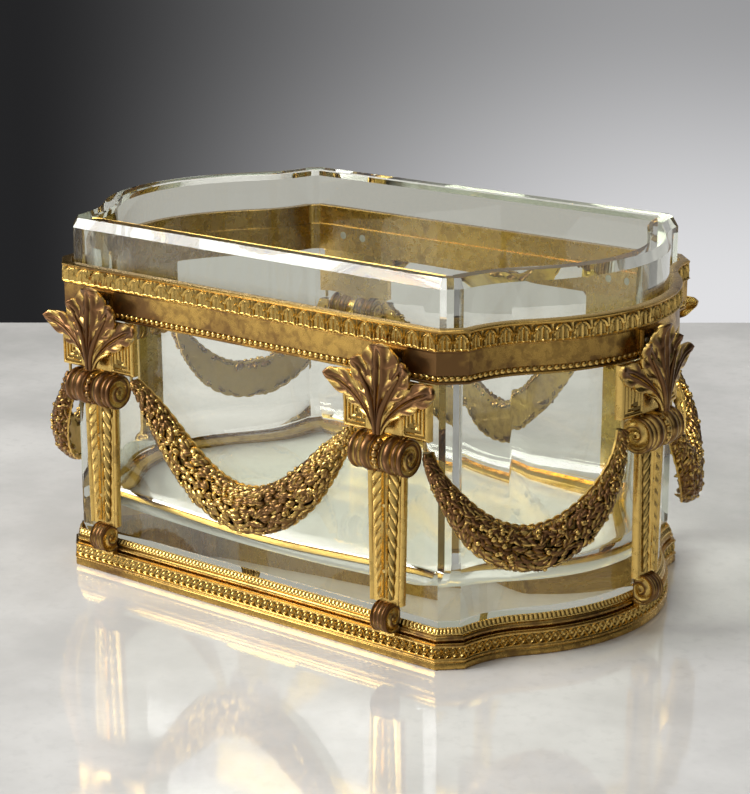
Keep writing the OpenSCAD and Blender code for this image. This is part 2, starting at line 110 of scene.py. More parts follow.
# Consoles: plate, key pattern block, volute, foot scroll and acanthus leaf
CONSOLE_X = (reach("husk_front_right", 0, 0) + reach("husk_front_right", 1, 0)) / 2
PLATE_BACK, PLATE_OUT = 4.8, 7.4
PLATE_Z = reach("pilaster_front_left", 0, 2)
SHAFT_FOOT_W, SHAFT_HEAD_W = 15.5, 19.0
KEY_OUT, KEY_W = 8.0, 42.6
KEY_Z, KEY_TOP = 96.0, FRIEZE_Z - 0.2
SHAFT_TOP = KEY_Z - 0.1
VOLUTE_R, VOLUTE_W, VOLUTE_Z = 7.9, 26.0, 88.0
VOLUTE_OUT = VOLUTE_R + 0.3
VOLUTE_BACK = 0.9
SCROLL_R, SCROLL_W = 6.7, 7.6
SCROLL_OUT = SCROLL_R - 0.2
SCROLL_Z = SHELF_Z + SCROLL_R + 1.9
SCROLL_BACK = 3.1
LEAF_ROOT, LEAF_TOP = reach("acanthus_front_left", 0, 2), reach("acanthus_front_left", 1, 2)
LEAF_BACK = 5.6
PLACE_NAMES = ("front_left", "front_right", "right_end", "back_right", "back_left", "left_end")
PLACES = (
    (-CONSOLE_X, -HALF_W, 0), (CONSOLE_X, -HALF_W, 0), (END_X, 0, 90),
    (CONSOLE_X, HALF_W, 180), (-CONSOLE_X, HALF_W, 180), (-END_X, 0, -90),
)

# Right halves of turned profiles: distance from the middle in millimetres, share of the radius
VOLUTE_PROFILE = (
    (0.0, 0.76), (1.7, 0.76), (2.0, 0.84), (2.3, 0.93), (2.8, 0.95), (3.1, 0.86), (3.5, 0.84), (4.0, 0.92),
    (4.9, 0.98), (5.8, 1.0), (6.7, 0.97), (7.3, 0.87), (7.6, 0.79), (8.0, 0.84), (8.7, 0.92), (9.4, 0.93),
    (10.0, 0.88), (10.4, 0.78), (10.8, 0.8), (11.2, 0.92), (11.9, 0.98), (12.6, 0.96),
)
FOOT_PROFILE = (
    (0.0, 0.96), (0.7, 0.94), (1.1, 0.86), (1.5, 0.94), (2.0, 0.97), (2.5, 0.92), (2.8, 0.85), (3.1, 0.94),
    (3.5, 0.99),
)

# Garlands: lowest middle line, half height and depth in the middle, half height at the ends, hanging points
GARLAND_LOW = 47.2
GARLAND_HALF = 10.3
GARLAND_T = 9.2
GARLAND_END = 2.3
HANG_Z = SHAFT_TOP - GARLAND_END
HANG_OUT = (PLATE_BACK + KEY_OUT) / 2
HANG_X = KEY_W / 2 - 2.6
HANG_ANGLE = math.radians(87.0)
SKEW = math.sin(math.radians(20))
BERRIES = 80
# Laurel leaves: distance between rows, then width, thickness and length of a leaf
LEAF_ROW = 3.3
LAUREL_SIZE = (2.9, 4.0, 5.8)

# Materials by finish, filled by make_finishes
FINISH = {}


# Meshes

def put_mesh(name, verts, blocks, finish, slot, sharp, node=None, raised=None, body=MOUNT):
    """Makes a piece from points in millimetres and blocks of faces, and lets it ride on a body."""
    mesh = bpy.data.meshes.new(name)
    loops = np.concatenate([np.asarray(b).ravel() for b in blocks]).astype(np.int32)
    sizes = np.concatenate([np.full(len(b), np.shape(b)[1]) for b in blocks])
    mesh.vertices.add(len(verts))
    mesh.vertices.foreach_set("co", (np.asarray(verts) * MM).astype(np.float32).ravel())
    mesh.loops.add(len(loops))
    mesh.loops.foreach_set("vertex_index", loops)
    mesh.polygons.add(len(sizes))
    mesh.polygons.foreach_set("loop_start", np.concatenate([[0], np.cumsum(sizes)[:-1]]).astype(np.int32))
    mesh.update(calc_edges=True)
    mesh.polygons.foreach_set("use_smooth", np.ones(len(sizes), bool))
    mesh.set_sharp_from_angle(angle=math.radians(sharp))
    if raised is not None:
        layer = mesh.attributes.new("raised", "FLOAT", "POINT")
        layer.data.foreach_set("value", np.asarray(raised, np.float32).ravel())
    if mesh.validate():
        raise RuntimeError(f"{name} has faces that are not sound")
    piece = bpy.data.objects.new(name, mesh)
    bpy.context.scene.collection.objects.link(piece)
    mesh.materials.append(FINISH[finish])
    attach(piece, body)
    if node:
        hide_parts(node)
    return piece


def grid_faces(rows, cols, wrap_rows=False, wrap_cols=False):
    """Quads of a grid of points. They face outwards where columns run anticlockwise and rows run upwards."""
    r, c = np.meshgrid(np.arange(rows - (not wrap_rows)), np.arange(cols - (not wrap_cols)), indexing="ij")
    r2, c2 = (r + 1) % rows, (c + 1) % cols
    return np.stack([r * cols + c, r * cols + c2, r2 * cols + c2, r2 * cols + c], -1).reshape(-1, 4)


def shell(front, back):
    """Closes a front grid and a back grid of the same size into one skin, with walls round the four sides."""
    rows, cols = front.shape[:2]
    verts = np.concatenate([front.reshape(-1, 3), back.reshape(-1, 3)])
    far = rows * cols
    face = grid_faces(rows, cols)
    i, j = np.arange(rows - 1), np.arange(cols - 1)
    low, high = j, (rows - 1) * cols + j
    left, right = i * cols, i * cols + cols - 1
    walls = [
        np.stack([low, low + far, low + 1 + far, low + 1], -1),
        np.stack([high + 1, high + 1 + far, high + far, high], -1),
        np.stack([left + cols, left + cols + far, left + far, left], -1),
        np.stack([right, right + far, right + cols + far, right + cols], -1),
    ]
    return verts, [np.concatenate([face, face[:, ::-1] + far] + walls)]


def capped(grid, flip=False):
    """A tube whose columns run round it, closed at both ends."""
    rows, cols = grid.shape[:2]
    ring = np.arange(cols)[None]
    blocks = [grid_faces(rows, cols, wrap_cols=True), ring[:, ::-1], (rows - 1) * cols + ring]
    return grid.reshape(-1, 3), [b[:, ::-1] for b in blocks] if flip else blocks


def merged(parts):
    """Joins several (points, blocks of faces, raised) into one mesh."""
    verts, blocks, raised, start = [], [], [], 0
    for v, fs, r in parts:
        verts.append(v)
        blocks += [f + start for f in fs]
        raised.append(np.broadcast_to(r, len(v)))
        start += len(v)
    return np.concatenate(verts), blocks, np.concatenate(raised)


def copies(verts, faces, origin, x_axis, y_axis, z_axis):
    """Sets one small shape at many places: point = origin + x * x_axis + y * y_axis + z * z_axis."""
    v = verts[None]
    spots = (origin[:, None] + v[..., 0:1] * x_axis[:, None] + v[..., 1:2] * y_axis[:, None]
             + v[..., 2:3] * z_axis[:, None])
    steps = np.arange(len(origin))[:, None, None] * len(verts)
    return spots.reshape(-1, 3), (faces[None] + steps).reshape(-1, faces.shape[1])


def cube_ball(n):
    """A ball of unit radius: the six sides of a cube in n by n quads, each point divided by its length."""
    t = np.tan(np.linspace(-math.pi / 4, math.pi / 4, n + 1))
    a, b = np.meshgrid(t, t, indexing="ij")
    one = np.ones_like(a)
    sides = [(one, a, b), (-one, b, a), (b, one, a), (a, -one, b), (a, b, one), (b, a, -one)]
    verts = np.concatenate([np.stack(s, -1).reshape(-1, 3) for s in sides])
    verts /= np.linalg.norm(verts, axis=1, keepdims=True)
    face = grid_faces(n + 1, n + 1)
    faces = np.concatenate([face[:, ::-1] + k * (n + 1) ** 2 for k in range(6)])
    _, first, back = np.unique(np.round(verts, 5), axis=0, return_index=True, return_inverse=True)
    return verts[first], back.ravel()[faces]


def balls(n, spots, radii):
    """Balls of the given radii at many places."""
    ball, faces = cube_ball(n)
    return copies(ball, faces, spots, *(radii[:, None] * axis for axis in np.eye(3)))


def smooth(x, low, high):
    """A soft step from 0 at low to 1 at high: 3 t^2 - 2 t^3."""
    t = np.clip((x - low) / (high - low), 0, 1)
    return t * t * (3 - 2 * t)


def ridge(x, width):
    """A soft ridge of height 1 at x = 0: exp(-(x / width)^2)."""
    return np.exp(-(x / width) ** 2)


def unit(v):
    return v / np.linalg.norm(v, axis=-1, keepdims=True)


def spread(rows, cols):
    """Two grids of parameters: v from 0 to 1 up the rows, u from -1 to 1 along the columns."""
    return np.meshgrid(np.linspace(0, 1, rows), np.linspace(-1, 1, cols), indexing="ij")


# Outline

def on_circle(centre, radius, angle):
    return centre[0] + radius * np.cos(angle), centre[1] + radius * np.sin(angle)


def sweep_centre(start):
    """Centre of the hollow sweep, which starts at the end of the facet and touches the bow's circle."""
    span = np.linalg.norm(BOW_C - start)
    toward = (BOW_C - start) / span
    along = (span ** 2 + SWEEP_R ** 2 - (SWEEP_R + BOW_R) ** 2) / (2 * span)
    return start + toward * along + np.array([-toward[1], toward[0]]) * math.sqrt(SWEEP_R ** 2 - along ** 2)


BOW_C = np.array([END_X - BOW_R, 0.0])
SWEEP_C = sweep_centre(np.array([HALF_SIDE + FACET / math.sqrt(2), HALF_W - FACET / math.sqrt(2)]))
BOW_HALF = math.atan2(SWEEP_C[1], SWEEP_C[0] - BOW_C[0])
TAN_MITRE = math.tan(math.radians(22.5))


def facet_near(d):
    """Corner between a long side and its facet, moved out by d."""
    return HALF_SIDE + d * TAN_MITRE, HALF_W + d


def facet_far(d):
    """Corner between the facet, moved out by d, and the hollow sweep, whose radius falls by d."""
    away = (SWEEP_C.sum() - HALF_SIDE - HALF_W) / math.sqrt(2) - d
    root = np.sqrt((SWEEP_R - d) ** 2 - away ** 2)
    return SWEEP_C[0] - (away + root) / math.sqrt(2), SWEEP_C[1] - (away - root) / math.sqrt(2)


def side_point(f, d):
    x, y = facet_near(d)
    return x * (1 - 2 * f), y + 0 * f


def facet_point(f, d):
    (x0, y0), (x1, y1) = facet_far(d), facet_near(d)
    return x0 + (x1 - x0) * f, y0 + (y1 - y0) * f


def sweep_point(f, d):
    x, y = facet_far(d)
    low = math.pi + BOW_HALF
    high = 2 * math.pi + np.arctan2(y - SWEEP_C[1], x - SWEEP_C[0])
    return on_circle(SWEEP_C, SWEEP_R - d, low + (high - low) * f)


def bow_point(f, d):
    return on_circle(BOW_C, BOW_R + d, BOW_HALF * (2 * f - 1))


# Anticlockwise parts of the outline: kind, signs of x and y, and whether it runs backwards
PARTS = (
    (bow_point, 1, 1, False), (sweep_point, 1, 1, False), (facet_point, 1, 1, False),
    (side_point, 1, 1, False),
    (facet_point, -1, 1, True), (sweep_point, -1, 1, True), (bow_point, -1, 1, True),
    (sweep_point, -1, -1, False), (facet_point, -1, -1, False), (side_point, -1, -1, False),
    (facet_point, 1, -1, True), (sweep_point, 1, -1, True),
)
# Out at the carved bands a facet is about 4 mm longer than on the glass
PART_LENGTH = {
    side_point: 2 * HALF_SIDE, facet_point: FACET + 4.0, sweep_point: SWEEP_LENGTH,
    bow_point: 2 * BOW_R * BOW_HALF,
}


class Course:
    """Samples round the outline, with a whole number of repeats on each straight or curved part."""

    def __init__(self, pitch=1.0, per=1, counts=None):
        """Gives each repeat "per" samples, or each part as many samples as counts says."""
        part, f, phase = [], [], []
        for k, (kind, *_) in enumerate(PARTS):
            n = counts[kind] if counts else max(1, round(PART_LENGTH[kind] / pitch)) * per
            part.append(np.full(n, k))
            f.append(np.arange(n) / n)
            phase.append((np.arange(n) / per) % 1)
        self.part, self.f, self.phase = (np.concatenate(a) for a in (part, f, phase))

    def points(self, d):
        """Points (..., samples, 2) at the distances d (..., samples) outside the outline."""
        out = np.empty(d.shape + (2,))
        for k, (kind, sx, sy, back) in enumerate(PARTS):
            mine = self.part == k
            f = 1 - self.f[mine] if back else self.f[mine]
            x, y = kind(f, d[..., mine])
            out[..., mine, 0], out[..., mine, 1] = sx * x, sy * y
        return out

    def level(self, d, z):
        """Points at one distance out and one height."""
        xy = self.points(np.full(len(self.f), float(d)))
        return np.column_stack([xy, np.full(len(xy), z)])

    def frames(self, d, z):
        """Spots at distance d, with their outward, level and upward directions."""
        shifted = Course.__new__(Course)
        shifted.part, shifted.f = self.part, np.clip(self.f + 1e-4, 0, 1)
        origin = self.level(d, z)
        level = unit(shifted.level(d, z) - origin)
        outward = np.column_stack([level[:, 1], -level[:, 0], level[:, 2]])
        return origin, outward, level, np.tile([0.0, 0, 1], (len(origin), 1))


FINE = Course(counts={side_point: 1, facet_point: 1, sweep_point: 16, bow_point: 48})


# Hollows of a moulding, which get painted shade: height within which points are level, reach of a hollow, fall
# of
# "raised" on each millimetre, and the even tone, free of painted shade, of what lies farther back
SAME_HEIGHT, HOLLOW_REACH, HOLLOW_FALL, INNER_TONE = 1.6, 2.2, 0.45, 0.38


def swept(profile):
    """Carries a closed profile of (distance out, height) points round the outline."""
    p = np.asarray(profile, float)
    d, z = (np.repeat(p[:, k:k + 1], len(FINE.f), 1) for k in (0, 1))
    verts = np.concatenate([FINE.points(d), z[..., None]], -1)
    return verts.reshape(-1, 3), [grid_faces(*d.shape, wrap_rows=True, wrap_cols=True)]


def moulding(name, profile, finish, node, raised, slot="gilt_bronze"):
    """A plain moulding. A point a little behind another of about its height counts as a hollow and gets
    painted shade, deeper the farther it lies back; one that lies farther back than that, such as on the inner
    face, gets an even tone."""
    p = np.asarray(profile, float)
    near = np.abs(p[:, None, 1] - p[None, :, 1]) < SAME_HEIGHT
    behind = np.where(near, p[None, :, 0], -np.inf).max(1) - p[:, 0]
    tone = np.clip(np.where(behind < HOLLOW_REACH, raised - HOLLOW_FALL * behind, INNER_TONE), 0, 1)
    put_mesh(name, *swept(profile), finish, slot, 38, node, np.repeat(tone, len(FINE.f)))


def relief_band(name, d, z, raised, back, course, node):
    """A gilt band whose face stands out by d and runs through the heights z, over a flat back."""
    rows, n = d.shape
    d = np.concatenate([d, np.full((2, n), back)])
    z = np.concatenate([z, z[-1:], z[:1]])
    raised = np.concatenate([raised, raised[-1:], raised[:1]])
    verts = np.concatenate([course.points(d), z[..., None]], -1)
    faces = grid_faces(rows + 2, n, wrap_rows=True, wrap_cols=True)
    put_mesh(name, verts.reshape(-1, 3), [faces], "ornament", "gilt_bronze", 60, node, raised)


def arc(centre, radius, start, end, n):
    """Profile points on an arc, in degrees."""
    t = np.radians(np.linspace(start, end, n))
    return [(centre[0] + radius * math.cos(a), centre[1] + radius * math.sin(a)) for a in t]


# Shapes on the consoles

def at_console(i, p):
    """Carries points (width, out, height) to console i. On a bowed end they follow the bow."""
    x, out, z = p[..., 0], p[..., 1], p[..., 2]
    cx, cy, angle = PLACES[i]
    r = BOW_R + out
    y = -out + (r - np.sqrt(r * r - x * x) if i % 3 == 2 else 0)
    a = math.radians(angle)
    world_x = cx + x * math.cos(a) - y * math.sin(a)
    world_y = cy + x * math.sin(a) + y * math.cos(a)
    return np.stack([world_x, world_y, z + 0 * x], -1)


def pressed(i, x, out, z, back):
    """Closes a relief over a flat back."""
    front = np.stack([x, out, z], -1)
    flat = np.stack([x, np.full_like(x, back), z], -1)
    return shell(at_console(i, front), at_console(i, flat))


def put_at_consoles(name, node, finish, slot, sharp, build):
    """Makes one piece at each console from the parts that build(i) gives."""
    for i, place in enumerate(PLACE_NAMES):
        verts, blocks, raised = merged(build(i))
        put_mesh(name + place, verts, blocks, finish, slot, sharp, node + place, raised)
    return {"FINISHED"}


def mirrored(right, radius):
    """A whole turned profile from its right half."""
    return np.array([(-x, q * radius) for x, q in right[:0:-1]] + [(x, q * radius) for x, q in right])


def bezier(points, t):
    """A cubic curve through its first and last point: sum of binomial(3, k) t^k (1 - t)^(3 - k) p_k."""
    p = np.asarray(points, float)
    t = np.asarray(t)[..., None]
    return (1 - t) ** 3 * p[0] + 3 * t * (1 - t) ** 2 * p[1] + 3 * t * t * (1 - t) * p[2] + t ** 3 * p[3]


# Finishes

class Graph:
    """Builds a node tree. An input takes a number, a colour or another node's output."""

    def __init__(self, tree):
        self.tree = tree

    def fill(self, node, values):
        """Sets or links inputs, which are named or counted."""
        for key, value in values.items():
            if isinstance(value, bpy.types.NodeSocket):
                self.tree.links.new(value, node.inputs[key])
            else:
                node.inputs[key].default_value = value

    def add(self, kind, values=None, **settings):
        node = self.tree.nodes.new(kind)
        for key, value in settings.items():
            setattr(node, key, value)
        self.fill(node, values or {})
        return node

    def math(self, operation, a, b):
        return self.add("ShaderNodeMath", {0: a, 1: b}, operation=operation).outputs[0]

    def times(self, a, b):
        return self.math("MULTIPLY", a, b)

    def plus(self, a, b):
        return self.math("ADD", a, b)

    def over(self, value, limit):
        return self.math("GREATER_THAN", value, limit)

    def mix(self, factor, a, b):
        return self.add("ShaderNodeMix", {0: factor, 6: a, 7: b}, data_type="RGBA").outputs[2]

    def step(self, value, low, high):
        """A soft step from 0 at low to 1 at high."""
        values = {0: value, 1: low, 2: high}
        return self.add("ShaderNodeMapRange", values, interpolation_type="SMOOTHSTEP").outputs[0]

    def noise(self, coords, scale, detail, rough, distortion=0.0):
        values = {"Vector": coords, 2: scale, 3: detail, 4: rough, "Distortion": distortion}
        return self.add("ShaderNodeTexNoise", values).outputs[0]

    def bump(self, height, strength, distance):
        return self.add("ShaderNodeBump", {0: strength, 1: distance, "Height": height}).outputs[0]

    def coords(self):
        return self.add("ShaderNodeTexCoord").outputs["Object"]


def new_material(name):
    """A material with its graph and its shader."""
    material = bpy.data.materials.new(name)
    material.use_nodes = True
    return material, Graph(material.node_tree), material.node_tree.nodes["Principled BSDF"]


def rgba(color, share=1.0):
    return (*(c * share for c in color), 1)


GILDING_INPUTS = {
    "Coords": "Vector", "Raised": "Float", "Rub": "Float", "Patches": "Float", "Gold": "Color",
    "Hollow": "Color", "Brown": "Color", "Polish": "Float", "Depth": "Float",
}
GILDING_OUTPUTS = {"Color": "Color", "Roughness": "Float", "Height": "Float"}


def gilding_group():
    """Worn fire-gilding with painted shade in the hollows. Gold gives way to brown bronze as Raised * Rub
    + patches * Patches + 0.22 (streaks - 0.5) goes from 0.25 to 0.8. As Raised falls from 0.36 to 0.04, the
    hollow colour comes in, by Depth: painted shade on most finishes, gold left in the hollows on the rubbed
    leaves."""
    tree = bpy.data.node_groups.new("worn_gilding_with_hollow_shade", "ShaderNodeTree")
    for way, sockets in (("INPUT", GILDING_INPUTS), ("OUTPUT", GILDING_OUTPUTS)):
        for name, kind in sockets.items():
            tree.interface.new_socket(name, in_out=way, socket_type="NodeSocket" + kind)
    g = Graph(tree)
    at = g.add("NodeGroupInput").outputs
    patches = g.step(g.noise(at["Coords"], 17.0, 2.0, 0.5, 0.3), 0.35, 0.75)
    streaks = g.step(g.noise(at["Coords"], 230.0, 5.0, 0.62, 0.3), 0.4, 0.72)
    grain = g.noise(at["Coords"], 1500.0, 3.0, 0.6)
    worn = g.plus(g.times(at["Raised"], at["Rub"]), g.times(patches, at["Patches"]))
    worn = g.plus(worn, g.times(g.math("SUBTRACT", streaks, 0.5), 0.22))
    brown = g.step(worn, 0.25, 0.8)
    # Painted shade: where Raised is low, the hollow colour is mixed in by Depth
    deep = g.step(at["Raised"], 0.36, 0.04)
    gold = g.mix(g.times(streaks, 0.22), at["Gold"], at["Hollow"])
    color = g.mix(brown, gold, at["Brown"])
    color = g.mix(g.times(deep, at["Depth"]), color, at["Hollow"])
    rough = g.plus(at["Polish"], g.times(streaks, 0.1))
    rough = g.plus(rough, g.times(brown, 0.06))
    height = g.plus(g.times(grain, 0.5), g.times(streaks, 0.5))
    g.add("NodeGroupOutput", {"Color": color, "Roughness": rough, "Height": height})


def gilt(name, gold, hollow, brown, rub, patches, polish, bump=0.12, depth=0.85, even=None):
    """One gilt or bronze finish, made with the worn-gilding group, which also paints shade into hollows.
    Raised comes from the mesh, or is even.
    """
    material, g, shader = new_material(name)
    if even is None:
        even = g.add("ShaderNodeAttribute", attribute_name="raised").outputs["Fac"]
    group = g.add("ShaderNodeGroup", node_tree=bpy.data.node_groups["worn_gilding_with_hollow_shade"])
    g.fill(group, {"Coords": g.coords(), "Raised": even, "Rub": rub, "Patches": patches, "Gold": rgba(gold),
                   "Hollow": rgba(hollow), "Brown": rgba(brown), "Polish": polish, "Depth": depth})
    g.fill(shader, {"Metallic": 1.0, "Base Color": group.outputs["Color"],
                    "Roughness": group.outputs["Roughness"],
                    "Normal": g.bump(group.outputs["Height"], bump, 0.0004)})
    return material


def crystal(name, ior):
    """Clear lead crystal, a little green-yellow, with faint waviness left by polishing. Light for the shadows
    goes straight through it. So does light from its sixth bounce on, and light that has already been both
    mirrored and let through."""
    material, g, shader = new_material(name)
    coords = g.coords()
    wave = g.noise(coords, 14.0, 2.0, 0.5)
    smear = g.noise(coords, 90.0, 4.0, 0.6)
    g.fill(shader, {"Transmission Weight": 1.0, "IOR": ior,
                    "Base Color": g.mix(wave, (0.968, 0.976, 0.946, 1), (0.945, 0.958, 0.92, 1)),
                    "Roughness": g.times(g.step(smear, 0.55, 0.95), 0.05),
                    "Normal": g.bump(wave, 0.04, 0.002)})
    path = g.add("ShaderNodeLightPath").outputs
    turned = g.times(g.over(path["Glossy Depth"], 0.5), g.over(path["Transmission Depth"], 0.5))
    late = g.math("MAXIMUM", g.over(path["Ray Depth"], 5.5), turned)
    straight = g.add("ShaderNodeBsdfTransparent", {0: (0.93, 0.945, 0.91, 1)})
    both = g.add("ShaderNodeMixShader", {0: g.math("MAXIMUM", path["Is Shadow Ray"], late),
                                         1: shader.outputs[0], 2: straight.outputs[0]})
    g.fill(g.tree.nodes["Material Output"], {"Surface": both.outputs[0]})
    return material


# Colours of finishes that a user has no need to change: clean, in hollows, worn
DARK_GOLD = (0.82, 0.76, 0.66)
LEAF_HOLLOW = (0.42, 0.27, 0.07)
OLIVE_GILT = ((0.74, 0.5, 0.15), (0.5, 0.33, 0.09), (0.4, 0.25, 0.08))
BRASS = ((0.6, 0.45, 0.18), (0.4, 0.28, 0.1), (0.3, 0.2, 0.09))
STEEL = ((0.55, 0.54, 0.5), (0.3, 0.28, 0.24), (0.3, 0.22, 0.14))
LEAD_CRYSTAL_IOR, RESTING_IOR = 1.54, 1.02


def make_finishes(colors):
    """The glass rests on its ledge with a face that hardly bends light, as if it were wet there."""
    gilding_group()
    gold, hollow, brown, red = (tuple(getattr(colors, k)) for k in ("gold", "hollow", "brown", "red_brown"))
    dark_gold = tuple(c * k for c, k in zip(gold, DARK_GOLD))
    # On the mount, the ornaments and the garlands the hollow colour is painted shade; on the rubbed leaves it
    # is gold left in the hollows
    FINISH.update(
        mount=gilt("gilt_mount", dark_gold, hollow, brown, rub=0.6, patches=0.5, polish=0.24),
        ornament=gilt("gilt_ornament", gold, hollow, brown, rub=0.15, patches=0.3, polish=0.22, bump=0.1),
        leaf=gilt("rubbed_leaf", gold, LEAF_HOLLOW, red, rub=0.9, patches=0.3, polish=0.25, bump=0.2,
                  depth=0.5),
        garland=gilt("rubbed_garland", gold, hollow, brown, rub=0.85, patches=0.45, polish=0.24, bump=0.2),
        garland_corner=gilt("rubbed_corner_garland", gold, hollow, red, rub=1.0, patches=0.45, polish=0.24,
                            bump=0.2),
        plain=gilt("plain_olive_gilt", *OLIVE_GILT, rub=0.2, patches=0.6, polish=0.4, bump=0.25, depth=0.2),
        pins=gilt("dulled_brass", *BRASS, rub=0.2, patches=0.5, polish=0.4, even=0.5),
        steel=gilt("dulled_steel", *STEEL, rub=0.2, patches=0.4, polish=0.35, even=0.5),
        crystal=crystal("cut_crystal", LEAD_CRYSTAL_IOR),
        crystal_underside=crystal("crystal_resting_face", RESTING_IOR),
    )


# Sizes and colours that a user would change

def color_prop(name, description, default):
    return bpy.props.FloatVectorProperty(name=name, description=description, subtype="COLOR", default=default,
                                         min=0, max=1)


def pitch_prop(name, description, default, low, high):
    """A length given in millimetres."""
    return bpy.props.FloatProperty(name=name, description=description, default=default * MM, min=low * MM,
                                   max=high * MM, unit="LENGTH")


class CasketColors(bpy.types.PropertyGroup):
    gold: color_prop("Gold", "Clean gilding", (0.74, 0.5, 0.15))
    # The hollow colour is painted shade for the hollows of the mount, ornaments and garlands; it also darkens
    # their streaks a little
    hollow: color_prop("Hollow shade", "Painted shade in the hollows, and darker streaks", (0.12, 0.075, 0.022))
    brown: color_prop("Brown", "Bronze where the gilding is thin", (0.2, 0.108, 0.042))
    red_brown: color_prop("Red-brown", "Bronze on rubbed leaves and scrolls", (0.17, 0.085, 0.036))
    floor: color_prop("Floor", "Pale stone floor", (0.8, 0.785, 0.755))
    # The backdrop colour is the painted glow of the backdrop's light part, not a paper colour lit by the lamps
    backdrop: color_prop("Backdrop", "Painted glow of the backdrop's light part", (0.745, 0.745, 0.76))


class CasketSizes(bpy.types.PropertyGroup):
    leaf_pitch: pitch_prop("Leaf-tip pitch", "Width of one leaf tip of the frieze", 7.8, 4, 20)
    bead_pitch: pitch_prop("Bead pitch", "Distance between beads of the frieze", 2.9, 2, 8)
    eye_pitch: pitch_prop("Ring pitch", "Distance between rings of the base band", 3.65, 2, 10)
    rib_pitch: pitch_prop("Rib pitch", "Distance between ribs of the base rim", 2.0, 1, 6)
    garland_seed: bpy.props.IntProperty(
        name="Garland order", description="Order of the scattered leaves and berries", default=7, min=0)
    lens: bpy.props.FloatProperty(
        name="Lens", description="Focal length of the camera, in millimetres", default=100.71, min=20,
        max=300)


# Vessel

class CASKET_OT_vessel(bpy.types.Operator):
    """Cuts the crystal vessel: bevelled foot and rim, thick walls and an oval floor"""
    bl_idname = "casket.vessel"
    bl_label = "Crystal vessel"

    def execute(self, context):
        course = Course(counts={side_point: 24, facet_point: 1, sweep_point: 20, bow_point: 56})
        wall = course.level(-WALL, 0)
        angle = np.arctan2(wall[:, 1] / OVAL_Y, wall[:, 0] / OVAL_X)
        oval = np.column_stack([OVAL_X * np.cos(angle), OVAL_Y * np.sin(angle), 0 * angle])
        rings = [
            course.level(-FOOT_IN, GLASS_Z), course.level(0, GLASS_Z + FOOT_H),
            course.level(0, GLASS_TOP - RIM_H), course.level(-RIM_IN, GLASS_TOP),
            course.level(EDGE - WALL, GLASS_TOP), course.level(-WALL, GLASS_TOP - EDGE),
        ]
        rings += [self.cove(wall, oval, t) for t in np.linspace(0, 1, 13)]
        piece = put_mesh("crystal_vessel", *capped(np.stack(rings)), "crystal", "crystal", 12, "glass_vessel",
                         body=VESSEL)
        piece.data.materials.append(FINISH["crystal_underside"])
        finish = np.zeros(len(piece.data.polygons), np.int32)
        resting_face = (len(rings) - 1) * len(wall)
        finish[resting_face] = 1
        piece.data.polygons.foreach_set("material_index", finish)
        return {"FINISHED"}

    def cove(self, wall, oval, t):
        """A ring of the cove: it goes from the wall to the oval with t^1.5 and falls with (1 - t)^2."""
        ring = wall * (1 - t ** 1.5) + oval * t ** 1.5
        ring[:, 2] = GLASS_Z + FLOOR_T + COVE_H * (1 - t) ** 2
        return ring


# Base

